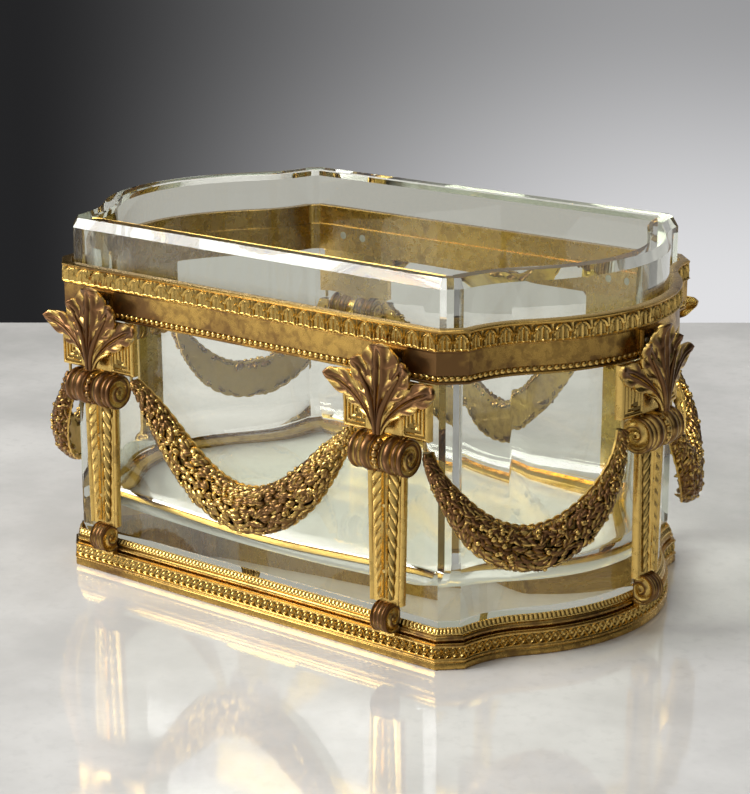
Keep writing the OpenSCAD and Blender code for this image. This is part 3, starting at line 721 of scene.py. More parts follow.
class CASKET_OT_base(bpy.types.Operator):
    """Builds the plinth with its ring band, round moulding, ribbed rim and inner ledge"""
    bl_idname = "casket.base"
    bl_label = "Base"

    def execute(self, context):
        sizes = context.scene.casket_sizes
        moulding("plinth_moulding", [
            (-4.0, 0.0), (3.5, 0.0), (3.9, 0.5), (3.9, 2.6), (3.7, 3.0), (3.5, 3.15), (3.55, 3.4), (4.0, 3.6),
            (4.1, 3.9), (4.1, 4.3), (3.9, BAND_LOW), (2.6, BAND_LOW), (2.6, SHELF_FILLET_Z),
            (3.7, SHELF_FILLET_Z), (3.8, SHELF_FILLET_Z + 0.12), (3.8, SHELF_Z - 0.15), (3.65, SHELF_Z),
            (3.0, SHELF_Z), (3.0, SHELF_Z + 0.5), (2.9, TORUS_Z), (0.5, TORUS_Z), (0.5, LEDGE_TOP),
            (-2.5, LEDGE_TOP), (-2.5, LEDGE_LOW), (-7.5, LEDGE_LOW), (-7.5, LEDGE_LOW - 3),
            (-4.0, LEDGE_LOW - 3),
        ], "mount", "base_plinth", raised=0.62)
        moulding("ledge_plate", [
            (-9.0, LEDGE_LOW), (-2.6, LEDGE_LOW), (-2.6, LEDGE_TOP), (-8.8, LEDGE_TOP),
            (-9.0, LEDGE_TOP - 0.2),
        ], "plain", "seat_ledge", raised=0.4, slot="plain_gilt")
        moulding("round_moulding", [
            (0.5, TORUS_Z), (1.5, TORUS_Z), *arc((1.15, TORUS_Z + 1.62), 1.45, -68, 68, 13), (1.9, RIM_Z),
            (0.5, RIM_Z),
        ], "mount", "base_torus", raised=0.65)
        self.ring_band(sizes.eye_pitch / MM)
        self.ribbed_rim(sizes.rib_pitch / MM)
        return {"FINISHED"}

    def ring_band(self, pitch):
        """Two lines cross in waves, v = +-0.76 tall cos(pi s), round a dot in each eye. v is measured from
        the band's middle and tall is half its height; s counts pitches from the middle of an eye."""
        course = Course(pitch, 12)
        z = np.linspace(BAND_LOW, SHELF_FILLET_Z, 23)[:, None] + 0 * course.phase
        v = z - (BAND_LOW + SHELF_FILLET_Z) / 2
        tall = (SHELF_FILLET_Z - BAND_LOW) / 2
        s = course.phase - 0.5
        wave = 0.76 * tall * np.cos(np.pi * s)
        lines = np.maximum(ridge(v - wave, 0.42), ridge(v + wave, 0.42))
        dot = ridge(np.hypot(s * pitch, v), 0.6)
        edge = smooth(np.abs(v), tall - 0.4, tall - 0.25)
        height = np.maximum.reduce([lines, dot, edge])
        relief_band("ring_band_relief", 2.7 + 1.0 * height, z, 0.02 + 0.8 * height, 2.6, course, "ring_band")

    def ribbed_rim(self, pitch):
        """Upright ribs, |cos(pi s)|^0.7 high, on a slope between two narrow fillets."""
        course = Course(pitch, 8)
        v = np.linspace(0, 1, 13)[:, None] + 0 * course.phase
        z = RIM_Z + v * (RIM_TOP - RIM_Z)
        slope = 2.0 - 0.1 * v - 0.95 * smooth(v, 0.2, 1.0)
        inside = smooth(v, 0.14, 0.26) * smooth(v, 0.93, 0.8)
        rib = np.abs(np.cos(np.pi * (course.phase - 0.5))) ** 0.7
        d = slope - inside * 0.55 * (1 - rib)
        raised = 0.15 + 0.5 * (1 - inside * (1 - rib))
        relief_band("ribbed_rim", d, z, raised, SIDE_GAP, course, "base_rim")


# Frieze

class CASKET_OT_frieze(bpy.types.Operator):
    """Builds the frieze frame with its bead row, leaf-tip band and lip"""
    bl_idname = "casket.frieze"
    bl_label = "Frieze"

    def execute(self, context):
        sizes = context.scene.casket_sizes
        inner, step = SIDE_GAP + 0.04, SIDE_GAP + 1.0
        moulding("frieze_moulding", [
            (inner, FRIEZE_Z), (4.2, FRIEZE_Z), (4.4, FRIEZE_Z + 0.2), (4.4, BEAD_Z - 0.15), (4.25, BEAD_Z),
            (3.4, BEAD_Z), (3.4, FASCIA_Z), (FASCIA_OUT - 0.15, FASCIA_Z), (FASCIA_OUT, FASCIA_Z + 0.15),
            (FASCIA_OUT, ASTRAGAL_Z - 0.1), (FASCIA_OUT + 0.1, ASTRAGAL_Z),
            *arc((FASCIA_OUT - 0.1, ASTRAGAL_Z + 0.5), 0.5, -60, 60, 7),
            (FASCIA_OUT, LEAF_Z), (4.2, LEAF_Z), (4.2, LIP_Z), (step, LIP_Z), (step, ASTRAGAL_Z + 0.15),
            (step - 0.15, ASTRAGAL_Z), (inner + 0.1, ASTRAGAL_Z), (inner, ASTRAGAL_Z - 0.1),
        ], "mount", "frieze_frame", raised=0.85)
        moulding("lip_moulding", [
            (1.2, LIP_Z), (5.2, LIP_Z), (5.4, LIP_Z + 0.3), (5.4, LIP_Z + 0.7), (5.1, LIP_TOP - 0.15),
            (4.8, LIP_TOP), (1.4, LIP_TOP), (1.2, LIP_TOP - 0.2),
        ], "mount", "top_lip", raised=0.5)
        self.bead_row(sizes.bead_pitch / MM)
        self.leaf_band(sizes.leaf_pitch / MM)
        return {"FINISHED"}

    def bead_row(self, pitch):
        """Round beads in a groove, on a narrow strip."""
        course = Course(pitch)
        course.f = course.f + 0.5 / np.bincount(course.part)[course.part]
        ball, faces = cube_ball(3)
        radius = (FASCIA_Z - BEAD_Z) / 2 - 0.06
        spots = course.frames(3.6, (FASCIA_Z + BEAD_Z) / 2)
        verts, faces = copies(ball * (1.05, radius, radius), faces, *spots)
        raised = np.tile(0.3 + 0.5 * np.clip(ball[:, 0], 0, 1), len(course.f))
        strip = swept([(3.4, BEAD_Z), (3.55, BEAD_Z), (3.55, FASCIA_Z), (3.4, FASCIA_Z)])
        verts, blocks, raised = merged([(verts, [faces], raised), (*strip, 0.1)])
        put_mesh("bead_row_relief", verts, blocks, "ornament", "gilt_bronze", 60, "bead_row", raised)

    def leaf_band(self, pitch):
        """Upright leaf tips side by side. Up to v = 0.3 a leaf's half width is 0.43 of the pitch, and from
        there 0.43 (1 - ((v - 0.3) / 0.6)^2)^0.425. Its edge, an inner line, its midrib and the tongue between
        two leaves are ridges."""
        course = Course(pitch, 24)
        v = np.linspace(0, 1, 25)[:, None] + 0 * course.phase
        u = np.abs(course.phase - 0.5) + 0 * v
        half = 0.43 * np.sqrt(np.clip(1 - (np.clip(v - 0.3, 0, 1) / 0.6) ** 2, 0.0001, 1)) ** 0.85
        half = np.where(v > 0.9, 0.0, half)
        edge = ridge(u - half + 0.035, 0.04) * smooth(v, 0.95, 0.88)
        inner = 0.55 * ridge(u - 0.56 * half, 0.035) * smooth(v, 0.72, 0.6)
        rib = 0.9 * ridge(u, 0.045) * smooth(v, 0.86, 0.7)
        body = 0.22 * smooth(half - u, 0.0, 0.12)
        tongue = 0.75 * ridge(u - 0.5, 0.045) * smooth(v, 0.3, 0.55)
        fillets = np.maximum(smooth(v, 0.07, 0.02), smooth(v, 0.93, 0.97))
        height = np.maximum.reduce([edge, inner, rib, body, tongue, fillets])
        d = 4.45 - 0.15 * v + (1.35 - 0.35 * v) * height
        z = LEAF_Z + v * (LIP_Z - LEAF_Z)
        relief_band("leaf_tip_band", d, z, 0.05 + 0.7 * height, 4.2, course, "leaf_band")


# Consoles

class CASKET_OT_pilasters(bpy.types.Operator):
    """Casts the six console plates: a tapering shaft, a tab behind the leaf and a block with a key pattern"""
    bl_idname = "casket.pilasters"
    bl_label = "Pilasters and key pattern"

    def execute(self, context):
        return put_at_consoles("pilaster_plate_", "pilaster_", "ornament", "gilt_bronze", 60,
                               lambda i: [self.shaft(i), self.tab(i), self.block(i)])

    def slab(self, i, x, out, z, raised):
        """Closes a relief over the flat back of the plate."""
        verts, blocks = pressed(i, x, out, z, PLATE_BACK)
        return verts, blocks, np.concatenate([raised.ravel(), np.full(raised.size, 0.3)])

    def shaft(self, i):
        """The width grows evenly with the height; each edge carries a rounded line and a groove beside it."""
        v, u = spread(40, 49)
        z = PLATE_Z + v * (SHAFT_TOP - PLATE_Z)
        half = (SHAFT_FOOT_W + (SHAFT_HEAD_W - SHAFT_FOOT_W) * z / KEY_Z) / 2
        x = u * half
        line = np.sqrt(np.clip(1 - ((half - np.abs(x) - 0.8) / 0.75) ** 2, 0, 1))
        groove = ridge(half - np.abs(x) - 1.9, 0.3)
        out = PLATE_OUT - 0.15 + 0.5 * line - 0.2 * groove
        return self.slab(i, x, out, z, 0.5 + 0.3 * line - 0.4 * groove)

    def tab(self, i):
        """A plain tab over the fascia, behind the leaf."""
        v, u = spread(6, 9)
        z = KEY_TOP - 1 + v * (ASTRAGAL_Z - 0.5 - KEY_TOP + 1)
        return self.slab(i, u * 7.6, PLATE_OUT - 0.3 - 0.3 * u ** 6, z, 0 * u)

    def block(self, i):
        """The block's face: on each side square rings that lie one inside another, the inner ones open low
        down towards the middle. A ring's line fills the first half of a pitch, counted inwards from the
        panel's edge."""
        v, u = spread(90, 141)
        z = KEY_Z + v * (KEY_TOP - KEY_Z)
        x = u * KEY_W / 2
        a = np.abs(x)
        pitch = 1.85
        near, far = 8.6, KEY_W / 2 - 0.35
        low, high = KEY_Z + 0.4, KEY_TOP - 0.4
        edge = np.minimum(np.minimum(a - near, far - a), np.minimum(z - low, high - z))
        phase = (edge / pitch) % 1
        line = smooth(phase, 0.0, 0.1) * smooth(phase, 0.56, 0.46)
        next_ring = (np.floor(edge / pitch) + 1) * pitch
        gap = (edge > pitch) & (far - a > edge + 0.1) & (a < (near + far) / 2)
        gap = gap & (z - low < next_ring + 0.4) & (z - low > next_ring - 1.4)
        line = np.where(gap, 0.0, line)
        line = np.where(edge < 0, 0.55, line)
        rounded = smooth(np.minimum(KEY_W / 2 - a, np.minimum(z - KEY_Z, KEY_TOP - z)), -0.02, 0.35)
        return self.slab(i, x, KEY_OUT - 0.35 + 0.6 * line * rounded, z, 0.85 * line)


class CASKET_OT_husks(bpy.types.Operator):
    """Carves the strip of leaflets on each shaft"""
    bl_idname = "casket.husks"
    bl_label = "Husk strips"

    def execute(self, context):
        return put_at_consoles("husk_strip_", "husk_", "ornament", "gilt_bronze", 70, self.strip)

    def strip(self, i):
        """Beside the middle rib the height is half round in c, which goes from 0 at the rib to 1 at the edge,
        times 0.12 + 0.88 |sin(pi w)|^1.1. As w = (z - low) / 5.2 + c, each leaflet falls towards the edge."""
        low, high = reach("husk_front_left", 0, 2), reach("husk_front_left", 1, 2)
        v, u = spread(144, 43)
        z = low + v * (high - low)
        a = np.abs(u)
        half = 4.1 + 3.1 * v
        rib = 1.5 / half
        c = np.clip((a - rib) / (1 - rib), 0, 1)
        lobe = np.abs(np.sin(np.pi * ((z - low) / 5.2 + c))) ** 1.1
        x = u * half * (1 - 0.1 * (1 - lobe) * c ** 4)
        rope = np.sqrt(np.clip(1 - (2 * c - 1) ** 2, 0, 1)) * (0.12 + 0.88 * lobe)
        fillets = ridge(np.abs(x) - 1.0, 0.38)
        height = np.where(a < rib, np.maximum(fillets, 0.12), rope)
        raised = np.tile(np.clip(0.9 * height - 0.08, 0, 1).ravel(), 2)
        return [(*pressed(i, x, PLATE_OUT + 0.05 + 1.45 * height, z, PLATE_OUT - 0.1), raised)]


def scroll(i, profile, half, radius, axis_out, axis_z, turns, back):
    """A scroll as one closed skin: the profile of (place on the axis, radius) turned about a level axis,
    between two spiral discs. What lies behind the distance "back" is pressed flat."""
    turn = np.linspace(0, 2 * math.pi, 61)[:-1]
    grids, tones = [], []
    for side in (-1, 1):
        axial, rho, height = scroll_disc(half, turn, turns, side)
        disc = np.stack([side * axial, axis_out + radius * rho * np.cos(turn),
                         axis_z + radius * rho * np.sin(turn)], -1)
        grids.append(disc[::side])
        tones.append((0.1 + 0.7 * height)[::side])
    x, r = profile[:, :1], profile[:, 1:]
    body = np.stack([x + 0 * turn, axis_out + r * np.cos(turn), axis_z + r * np.sin(turn)], -1)
    body_tone = 0.35 + 0.5 * smooth(r, r.mean() - 0.5, r.mean() + 0.4) + 0 * turn
    grid = np.concatenate([grids[0], body, grids[1]])
    grid[..., 1] = np.maximum(grid[..., 1], back)
    return (*capped(at_console(i, grid), flip=True), np.concatenate([tones[0], body_tone, tones[1]]).ravel())


def scroll_disc(half, turn, turns, side):
    """A domed disc whose raised line winds inwards: it lies where (1 - rho) turns - side angle / (2 pi)
    + 0.35 is half a turn past a whole number. Rows run inwards with rho, columns run round."""
    rho, theta = np.meshgrid(np.linspace(1, 0.02, 26), turn, indexing="ij")
    phase = (1 - rho) * turns - side * theta / (2 * math.pi) + 0.35
    line = ridge((phase % 1) - 0.5, 0.2) * smooth(rho, 0.16, 0.3)
    line = np.maximum(line, ridge(rho - 0.97, 0.08))
    height = np.maximum(line, 0.7 * smooth(rho, 0.24, 0.1))
    return half + 0.5 * (1 - rho ** 2) - 0.8 + 0.9 * height, rho, height


class CASKET_OT_volutes(bpy.types.Operator):
    """Turns the six volutes, with their spiral discs and the beads down the middle"""
    bl_idname = "casket.volutes"
    bl_label = "Volutes"

    def execute(self, context):
        return put_at_consoles("volute_roll_", "volute_", "leaf", "bronze_ornament", 60, self.parts)

    def parts(self, i):
        profile = mirrored(VOLUTE_PROFILE, VOLUTE_R)
        roll = scroll(i, profile, VOLUTE_W / 2, 0.93 * VOLUTE_R, VOLUTE_OUT, VOLUTE_Z, 1.9, VOLUTE_BACK)
        t = np.radians(np.linspace(62, -62, 6))
        sizes = np.array([1.3, 1.5, 1.55, 1.5, 1.35, 1.15])
        away = 0.82 * VOLUTE_R
        spots = np.stack([0 * t, VOLUTE_OUT + away * np.cos(t), VOLUTE_Z + away * np.sin(t)], -1)
        verts, faces = balls(4, at_console(i, spots), sizes)
        return [roll, (verts, [faces], 0.55)]


class CASKET_OT_foot_scrolls(bpy.types.Operator):
    """Turns the six foot scrolls with their heels"""
    bl_idname = "casket.foot_scrolls"
    bl_label = "Foot scrolls"

    def execute(self, context):
        return put_at_consoles("foot_roll_", "foot_scroll_", "leaf", "bronze_ornament", 60, self.parts)

    def parts(self, i):
        half = SCROLL_W / 2
        profile = mirrored(FOOT_PROFILE, SCROLL_R)
        roll = scroll(i, profile, half, 0.96 * SCROLL_R, SCROLL_OUT, SCROLL_Z, 1.8, SCROLL_BACK)
        v, u = spread(8, 8)
        heel = pressed(i, half * 0.9 * u, np.full_like(u, 6.0), SHELF_Z + 0.1 + v * 8, SCROLL_BACK)
        return [roll, (*heel, 0.2)]


LOBE_BULGES = 4
# Lobes of one leaf, drawn on its right half: spine, half width, relief, cupping and the sides it grows on
LOBES = (
    ([(1.4, 12.0, LEAF_ROOT + 0.5), (4.5, 12.4, LEAF_ROOT + 9), (13, 8.8, LEAF_ROOT + 16.5),
      (27.5, 11.6, LEAF_ROOT + 21.0)], 5.4, 1.2, 0.03, (-1, 1)),
    ([(1.2, 12.2, LEAF_ROOT), (2.0, 12.6, LEAF_ROOT + 12), (5.0, 9.0, LEAF_ROOT + 20),
      (13.2, 11.2, LEAF_ROOT + 29.0)], 6.4, 1.4, 0.03, (-1, 1)),
    ([(0, 12.6, LEAF_ROOT), (0, 12.6, LEAF_ROOT + 13), (0, 9.4, LEAF_ROOT + 26),
      (0, 11.4, LEAF_TOP - 0.5)], 9.8, 1.7, 0.01, (1,)),
)
STEM = [(0.9, 13.4, LEAF_ROOT), (1.0, 14.0, LEAF_ROOT + 10), (4.4, 12.2, LEAF_ROOT + 16),
        (9.5, 12.4, LEAF_ROOT + 23)]


def leaf_lobe(spine, width, depth, cup, side):
    """One lobe of the acanthus. Along the spine (t from 0 to 1) the half width grows as a soft step up to
    0.68 and closes over a quarter circle from 0.7. The edge bulges with |sin(4 pi (t - 0.2))|; across the
    lobe, u from -1 to 1, |sin(4 pi (t - 0.2 |u|))| raises one rounded vein to each bulge. Two round ribs
    stand beside the creased middle line, and the tip rolls outwards."""
    v, u = spread(64, 49)
    t = np.sin(np.pi / 2 * v ** 0.9)
    a = np.abs(u)
    line = bezier(spine, t)
    ahead = unit(bezier(spine, t + 1e-3) - bezier(spine, t - 1e-3))
    across = unit(np.cross(np.array([0.0, 1.0, 0.0]), ahead))
    lift = np.cross(across, ahead)
    lift = np.where(lift[..., 1:2] < 0, -lift, lift)

    half = 0.9 + (width - 0.9) * smooth(t, 0.08, 0.68)
    half = half * np.sqrt(np.clip(1 - np.clip((t - 0.7) / 0.3, 0, 1) ** 2, 0.004, 1))
    bulge = np.abs(np.sin(np.pi * LOBE_BULGES * (t - 0.2))) ** 0.55
    half = half * (1 - 0.38 * (1 - bulge) * smooth(t, 0.15, 0.35) * smooth(t, 1.0, 0.86))

    vein = np.abs(np.sin(np.pi * LOBE_BULGES * (t - 0.2 * a))) ** 1.1
    vein = 1 + (vein - 1) * smooth(a, 0.22, 0.5) * smooth(t, 0.1, 0.3)
    rib = ridge(a - 0.2, 0.13) * smooth(t, 1.0, 0.75)
    crease = ridge(a, 0.09) * smooth(t, 0.98, 0.8)
    height = np.clip(0.1 + 0.65 * vein * np.sqrt(1 - 0.75 * a ** 4) + 0.45 * rib - 0.55 * crease, 0, 1.1)
    roll = smooth(t, 0.8, 1.0)
    rise = cup * u ** 2 * half + depth * height + 1.5 * roll * (1 - 0.4 * a)
    front = line + (u * half)[..., None] * across + rise[..., None] * lift
    back = front - (1.2 + 0.5 * (1 - a ** 2))[..., None] * lift
    back[..., 1] = np.maximum(back[..., 1], LEAF_BACK)
    worn = 0.8 * smooth(t, 0.25, 0.7) * height
    raised = np.clip(0.05 + 0.62 * height ** 2 + 0.35 * rib + 0.3 * roll + worn, 0, 1)

    front[..., 0] *= side
    back[..., 0] *= side
    return front[:, ::side], back[:, ::side], raised[:, ::side]


class CASKET_OT_acanthus(bpy.types.Operator):
    """Carves the six acanthus leaves, each from a middle lobe, two pairs of side lobes and two stems"""
    bl_idname = "casket.acanthus"
    bl_label = "Acanthus leaves"

    def execute(self, context):
        return put_at_consoles("acanthus_leaf_", "acanthus_", "leaf", "bronze_ornament", 80, self.parts)

    def parts(self, i):
        parts = [self.stem(i, side) for side in (-1, 1)]
        for spine, width, depth, cup, sides in LOBES:
            for side in sides:
                front, back, raised = leaf_lobe(spine, width, depth, cup, side)
                tone = np.concatenate([raised.ravel(), np.full(raised.size, 0.2)])
                parts.append((*shell(at_console(i, front), at_console(i, back)), tone))
        return parts

    def stem(self, i, side):
        """A round rib that climbs beside the middle lobe and leans out into the inner lobe."""
        t = np.linspace(0, 1, 30)
        line = bezier(STEM, t)
        ahead = unit(bezier(STEM, t + 1e-3) - line)
        line[:, 0] *= side
        ahead[:, 0] *= side
        level = unit(np.cross(np.array([0.0, 1.0, 0.0]), ahead))
        lift = np.cross(level, ahead)
        radius = 0.85 + 0.35 * np.sin(np.pi * t) - 0.5 * t ** 4
        phi = np.linspace(0, 2 * math.pi, 13)[:-1, None]
        ring = level[:, None] * np.cos(phi) + lift[:, None] * np.sin(phi)
        return (*capped(at_console(i, line[:, None] + radius[:, None, None] * ring)), 0.85)


# Garlands

def hang_spot(i, side):
    return at_console(i, np.array([side * HANG_X, HANG_OUT - GARLAND_END, 0.0]))[:2]


class HangingCurve:
    """Middle line of a garland. Its level place goes from a to b with t = 0.9 sin(q) + 0.1 sin(q)^9 and bows
    outwards by bulge (1 - t^6). Its height is low + (top - low) (1 - cos(q)^k), for q from -87 to 87
    degrees."""

    def __init__(self, a, b, bulge, low, k, half):
        self.a, self.b, self.bulge, self.low, self.k, self.half = a, b, bulge, low, k, half
        self.n = unit(np.array([b[1] - a[1], a[0] - b[0]]))

    def level(self, t):
        t = np.asarray(t)[..., None]
        return self.a + (self.b - self.a) * (1 + t) / 2 + self.n * self.bulge * (1 - t ** 6)

    def point(self, q):
        t = 0.9 * np.sin(q) + 0.1 * np.sin(q) ** 9
        z = self.low + (HANG_Z - self.low) * (1 - np.abs(np.cos(q)) ** self.k)
        return np.concatenate([self.level(t), z[..., None]], -1)

    def at(self, s):
        """Point, forward, across and outward directions, half height and depth at s from -1 to 1."""
        q = HANG_ANGLE * s
        t = 0.9 * np.sin(q) + 0.1 * np.sin(q) ** 9
        forward = unit(self.point(q + 0.01) - self.point(q - 0.01))
        flat = unit(self.level(t + 0.01) - self.level(t - 0.01))
        out = np.stack([flat[..., 1], -flat[..., 0], 0 * t], -1)
        across = np.cross(out, forward)
        half = GARLAND_END + (self.half - GARLAND_END) * (1 - np.abs(t) ** 2.6)
        depth = 2 * GARLAND_END + (GARLAND_T - 2 * GARLAND_END) * (1 - t ** 4)
        return self.point(q), forward, across, out, half, depth


def garland_curves():
    """The six garlands, each between the blocks of two neighbouring consoles."""
    curves = {}
    for i, name in enumerate(("front", "front_right", "back_right", "back", "back_left", "front_left")):
        a, b = hang_spot(i, 1), hang_spot((i + 1) % 6, -1)
        if name in ("front", "back"):
            curves[name] = HangingCurve(a, b, 1.0 + HALF_W - abs(a[1]), GARLAND_LOW, 1.8, GARLAND_HALF)
        else:
            curves[name] = HangingCurve(a, b, 7.6, GARLAND_LOW + 1.8, 1.0, 0.92 * GARLAND_HALF)
    return curves


def even_spots(curve, n, end=0.97):
    """Values of s from -end to end that divide the curve's length evenly, and that length."""
    s = np.linspace(-end, end, 400)
    p = curve.at(s)[0]
    length = np.concatenate([[0], np.cumsum(np.linalg.norm(np.diff(p, axis=0), axis=1))])
    return np.interp(np.linspace(0, length[-1], n), length, s), length[-1]


def laurel_leaf():
    """A small pointed leaf, 1 long and 1 wide: half width 0.5 sin(pi t^0.8)^0.8, folded up at its midrib."""
    t = np.array([0.0, 0.16, 0.36, 0.58, 0.8, 1.0])
    w = 0.5 * np.sin(np.pi * np.clip(t, 0.03, 0.985) ** 0.8)[:, None] ** 0.8
    u = np.array([-1, -0.5, 0, 0.5, 1.0])
    x = w * u
    y = 0.16 * np.sin(np.pi * t)[:, None] + 0.22 * (1 - np.abs(u)) * w * 2 - 0.05 * u ** 2
    front = np.stack([x, y, t[:, None] + 0 * x], -1)
    verts, blocks = shell(front, front - (0, 0.1, 0))
    tone = np.broadcast_to(0.25 + 0.6 * (1 - np.abs(u)), x.shape).ravel()
    return verts, blocks[0], np.concatenate([tone, np.full(tone.size, 0.1)])


class CASKET_OT_garlands(bpy.types.Operator):
    """Hangs the six garlands: a core, overlapping laurel leaves, berries and a flat back"""
    bl_idname = "casket.garlands"
    bl_label = "Garlands"

    def execute(self, context):
        rng = np.random.default_rng(context.scene.casket_sizes.garland_seed)
        for name, curve in garland_curves().items():
            finish = "garland" if name in ("front", "back") else "garland_corner"
            parts = [self.core(curve), self.leaves(curve, rng), self.berries(curve, rng)]
            verts, blocks, raised = merged(parts)
            put_mesh("garland_leaves_" + name, verts, blocks, finish, "bronze_garland", 70, "garland_" + name,
                     raised)
            verts, blocks = self.back_plate(curve)
            put_mesh("garland_back_plate_" + name, verts, blocks, "plain", "plain_gilt", 60,
                     raised=np.full(len(verts), 0.4))
        return {"FINISHED"}

    def core(self, curve):
        """A lumpy, D-shaped rope under the leaves: across = 0.8 half cos(phi), and
        out = 0.3 + 0.72 depth (sin(phi) + sin 20) / (1 + sin 20)."""
        s, _ = even_spots(curve, 70, 1)
        p, _, across, out, half, depth = (x[:, None] for x in curve.at(s))
        phi = np.radians(np.linspace(-20, 200, 15))
        wide = half * (0.8 + 0.05 * np.sin(9 * phi + 40 * s[:, None])) * np.cos(phi)
        thick = 0.3 + depth * 0.72 * (np.sin(phi) + SKEW) / (1 + SKEW)
        return (*capped(p + across * wide[..., None] + out * thick[..., None]), 0.05)

    def place_on(self, curve, s, phi):
        """Points on the garland's round face, their forward and normal directions, and the half height."""
        p, forward, across, out, half, depth = curve.at(s)
        wide = half * np.cos(phi)
        thick = depth * (np.sin(phi) + SKEW) / (1 + SKEW)
        spot = p + across * wide[:, None] + out * thick[:, None]
        normal = unit(across * (np.cos(phi) / half)[:, None] + out * (np.sin(phi) / depth)[:, None])
        return spot, forward, normal, half

    def leaves(self, curve, rng):
        """Rows of leaves that point from both ends to the middle, each row shifted by half a step."""
        base, faces, raised = laurel_leaf()
        rows = max(12, round(even_spots(curve, 2)[1] / LEAF_ROW))
        s, _ = even_spots(curve, rows)
        s, phi = np.meshgrid(s, np.radians(np.linspace(-16, 196, 14)), indexing="ij")
        step = (s[1, 0] - s[0, 0]) / 2
        s = s + step * (np.arange(s.shape[1]) % 2) + rng.normal(0, 0.35, s.shape) * step
        phi = (phi + rng.normal(0, 0.12, phi.shape)).ravel()
        s = np.clip(s.ravel(), -0.99, 0.99)
        spot, forward, normal, half = self.place_on(curve, s, phi)
        forward = forward * np.where(s > 0, -1.0, 1.0)[:, None]
        swing = rng.normal(0, 0.5, len(s)) + 0.35 * np.cos(phi)
        level = np.cross(normal, forward)
        ahead = unit(forward * np.cos(swing)[:, None] + level * np.sin(swing)[:, None]
                     + normal * (0.26 + rng.normal(0, 0.13, len(s)))[:, None])
        side = unit(np.cross(ahead, normal))
        lift = np.cross(side, ahead)
        flip = np.einsum("ij,ij->i", lift, normal) < 0
        side[flip] *= -1
        lift[flip] *= -1
        size = ((0.5 + 0.5 * half / curve.half) * rng.uniform(0.8, 1.2, len(s)))[:, None]
        start = spot - normal * (1.5 * size) - ahead * (2.3 * size)
        wide, thick, long = (k * size for k in LAUREL_SIZE)
        verts, faces = copies(base, faces, start, side * wide, lift * thick, ahead * long)
        tone = rng.uniform(0.55, 1.15, (len(s), 1)) + 0.25 * (np.sin(phi) > 0.2)[:, None]
        return verts, [faces], np.clip(raised * tone, 0, 1).ravel()

    def berries(self, curve, rng):
        """Small round berries between the leaves."""
        s = rng.uniform(-0.95, 0.95, BERRIES)
        phi = np.radians(rng.uniform(10, 170, BERRIES))
        spot, _, normal, half = self.place_on(curve, s, phi)
        size = (0.7 + 0.4 * half / curve.half) * rng.uniform(0.8, 1.2, BERRIES)
        verts, faces = balls(3, spot - normal * 0.2, size)
        return verts, [faces], 0.35

    def back_plate(self, curve):
        """A flat plate behind the leaves, its edge notched between leaf tips."""
        s, length = even_spots(curve, 240, 1)
        p, _, across, out, half, _ = curve.at(s)
        notch = np.abs(np.sin(np.linspace(0, math.pi * round(length / 5.2), len(s)))) ** 0.6
        wide = (half * (0.93 + 0.1 * notch))[:, None] * np.linspace(-1, 1, 9)
        flat = p[:, None] + across[:, None] * wide[..., None]
        return shell(flat + out[:, None] * 0.05, flat + out[:, None] * 0.9)


class CASKET_OT_fasteners(bpy.types.Operator):
    """Finishes the screws, rivets, dowels and pins"""
    bl_idname = "casket.fasteners"
    bl_label = "Fasteners"

    def execute(self, context):
        for name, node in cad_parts.items():
            if name.endswith(("screws", "dowels")):
                finish = FINISH["steel"]
            elif name.endswith(("rivets", "pins")):
                finish = FINISH["pins"]
            else:
                continue
            node.data.materials.clear()
            node.data.materials.append(finish)
        return {"FINISHED"}


# Stage, in metres and watts

# Turn and tilt of the camera, and its place along its own axes in millimetres, as fitted to the photograph
YAW, PITCH = math.radians(38.246), math.radians(15.502)
CAMERA_RIGHT, CAMERA_UP, CAMERA_BACK = 0.064, 74.004, 1019.364

STAGE_WIDE, STAGE_HIGH = 4.0, 3.0
FLOOR_NEAR, FLOOR_FAR = 3.0, 0.46
BACKDROP_BEHIND, BACKDROP_BELOW = 0.8, 0.6
AIM_Z = 0.08

# Name, place (right, towards the camera, up), width and power
LIGHTS = (
    ("key_light", (-1.15, 0.3, 0.95), 0.8, 22.0),
    ("top_light", (-0.1, -0.15, 1.5), 0.9, 5.0),
    ("fill_light", (0.9, 1.2, 0.7), 0.8, 0.4),
)
SKY_AIM = (-0.6, 0.4, 0.7)
SKY_DARK, SKY_LIGHT, SKY_POWER = (0.05, 0.05, 0.052), (0.95, 0.95, 0.94), 0.55
# The backdrop's painted glow brightens between these shares of its width and dims between these shares of its
# height
BACKDROP_SIDE, BACKDROP_RISE, BACKDROP_TOP = (0.455, 0.54), (0.25, 0.14), 0.42
# Painted shade on the dark part of the glowing backdrop, and the even pale glow it shows through the crystal
BACKDROP_PAINTED_SHADE, BACKDROP_PAINTED_GLOW_IN_GLASS = (0.018, 0.018, 0.019), (0.47, 0.46, 0.42)


def stage_plane(name, corners, material):
    mesh = bpy.data.meshes.new(name)
    mesh.from_pydata([tuple(c) for c in corners], [], [(0, 1, 2, 3)])
    mesh.uv_layers.new(name="UVMap").data.foreach_set("uv", (0, 0, 1, 0, 1, 1, 0, 1))
    plane = bpy.data.objects.new(name, mesh)
    bpy.context.scene.collection.objects.link(plane)
    mesh.materials.append(material)
    return plane


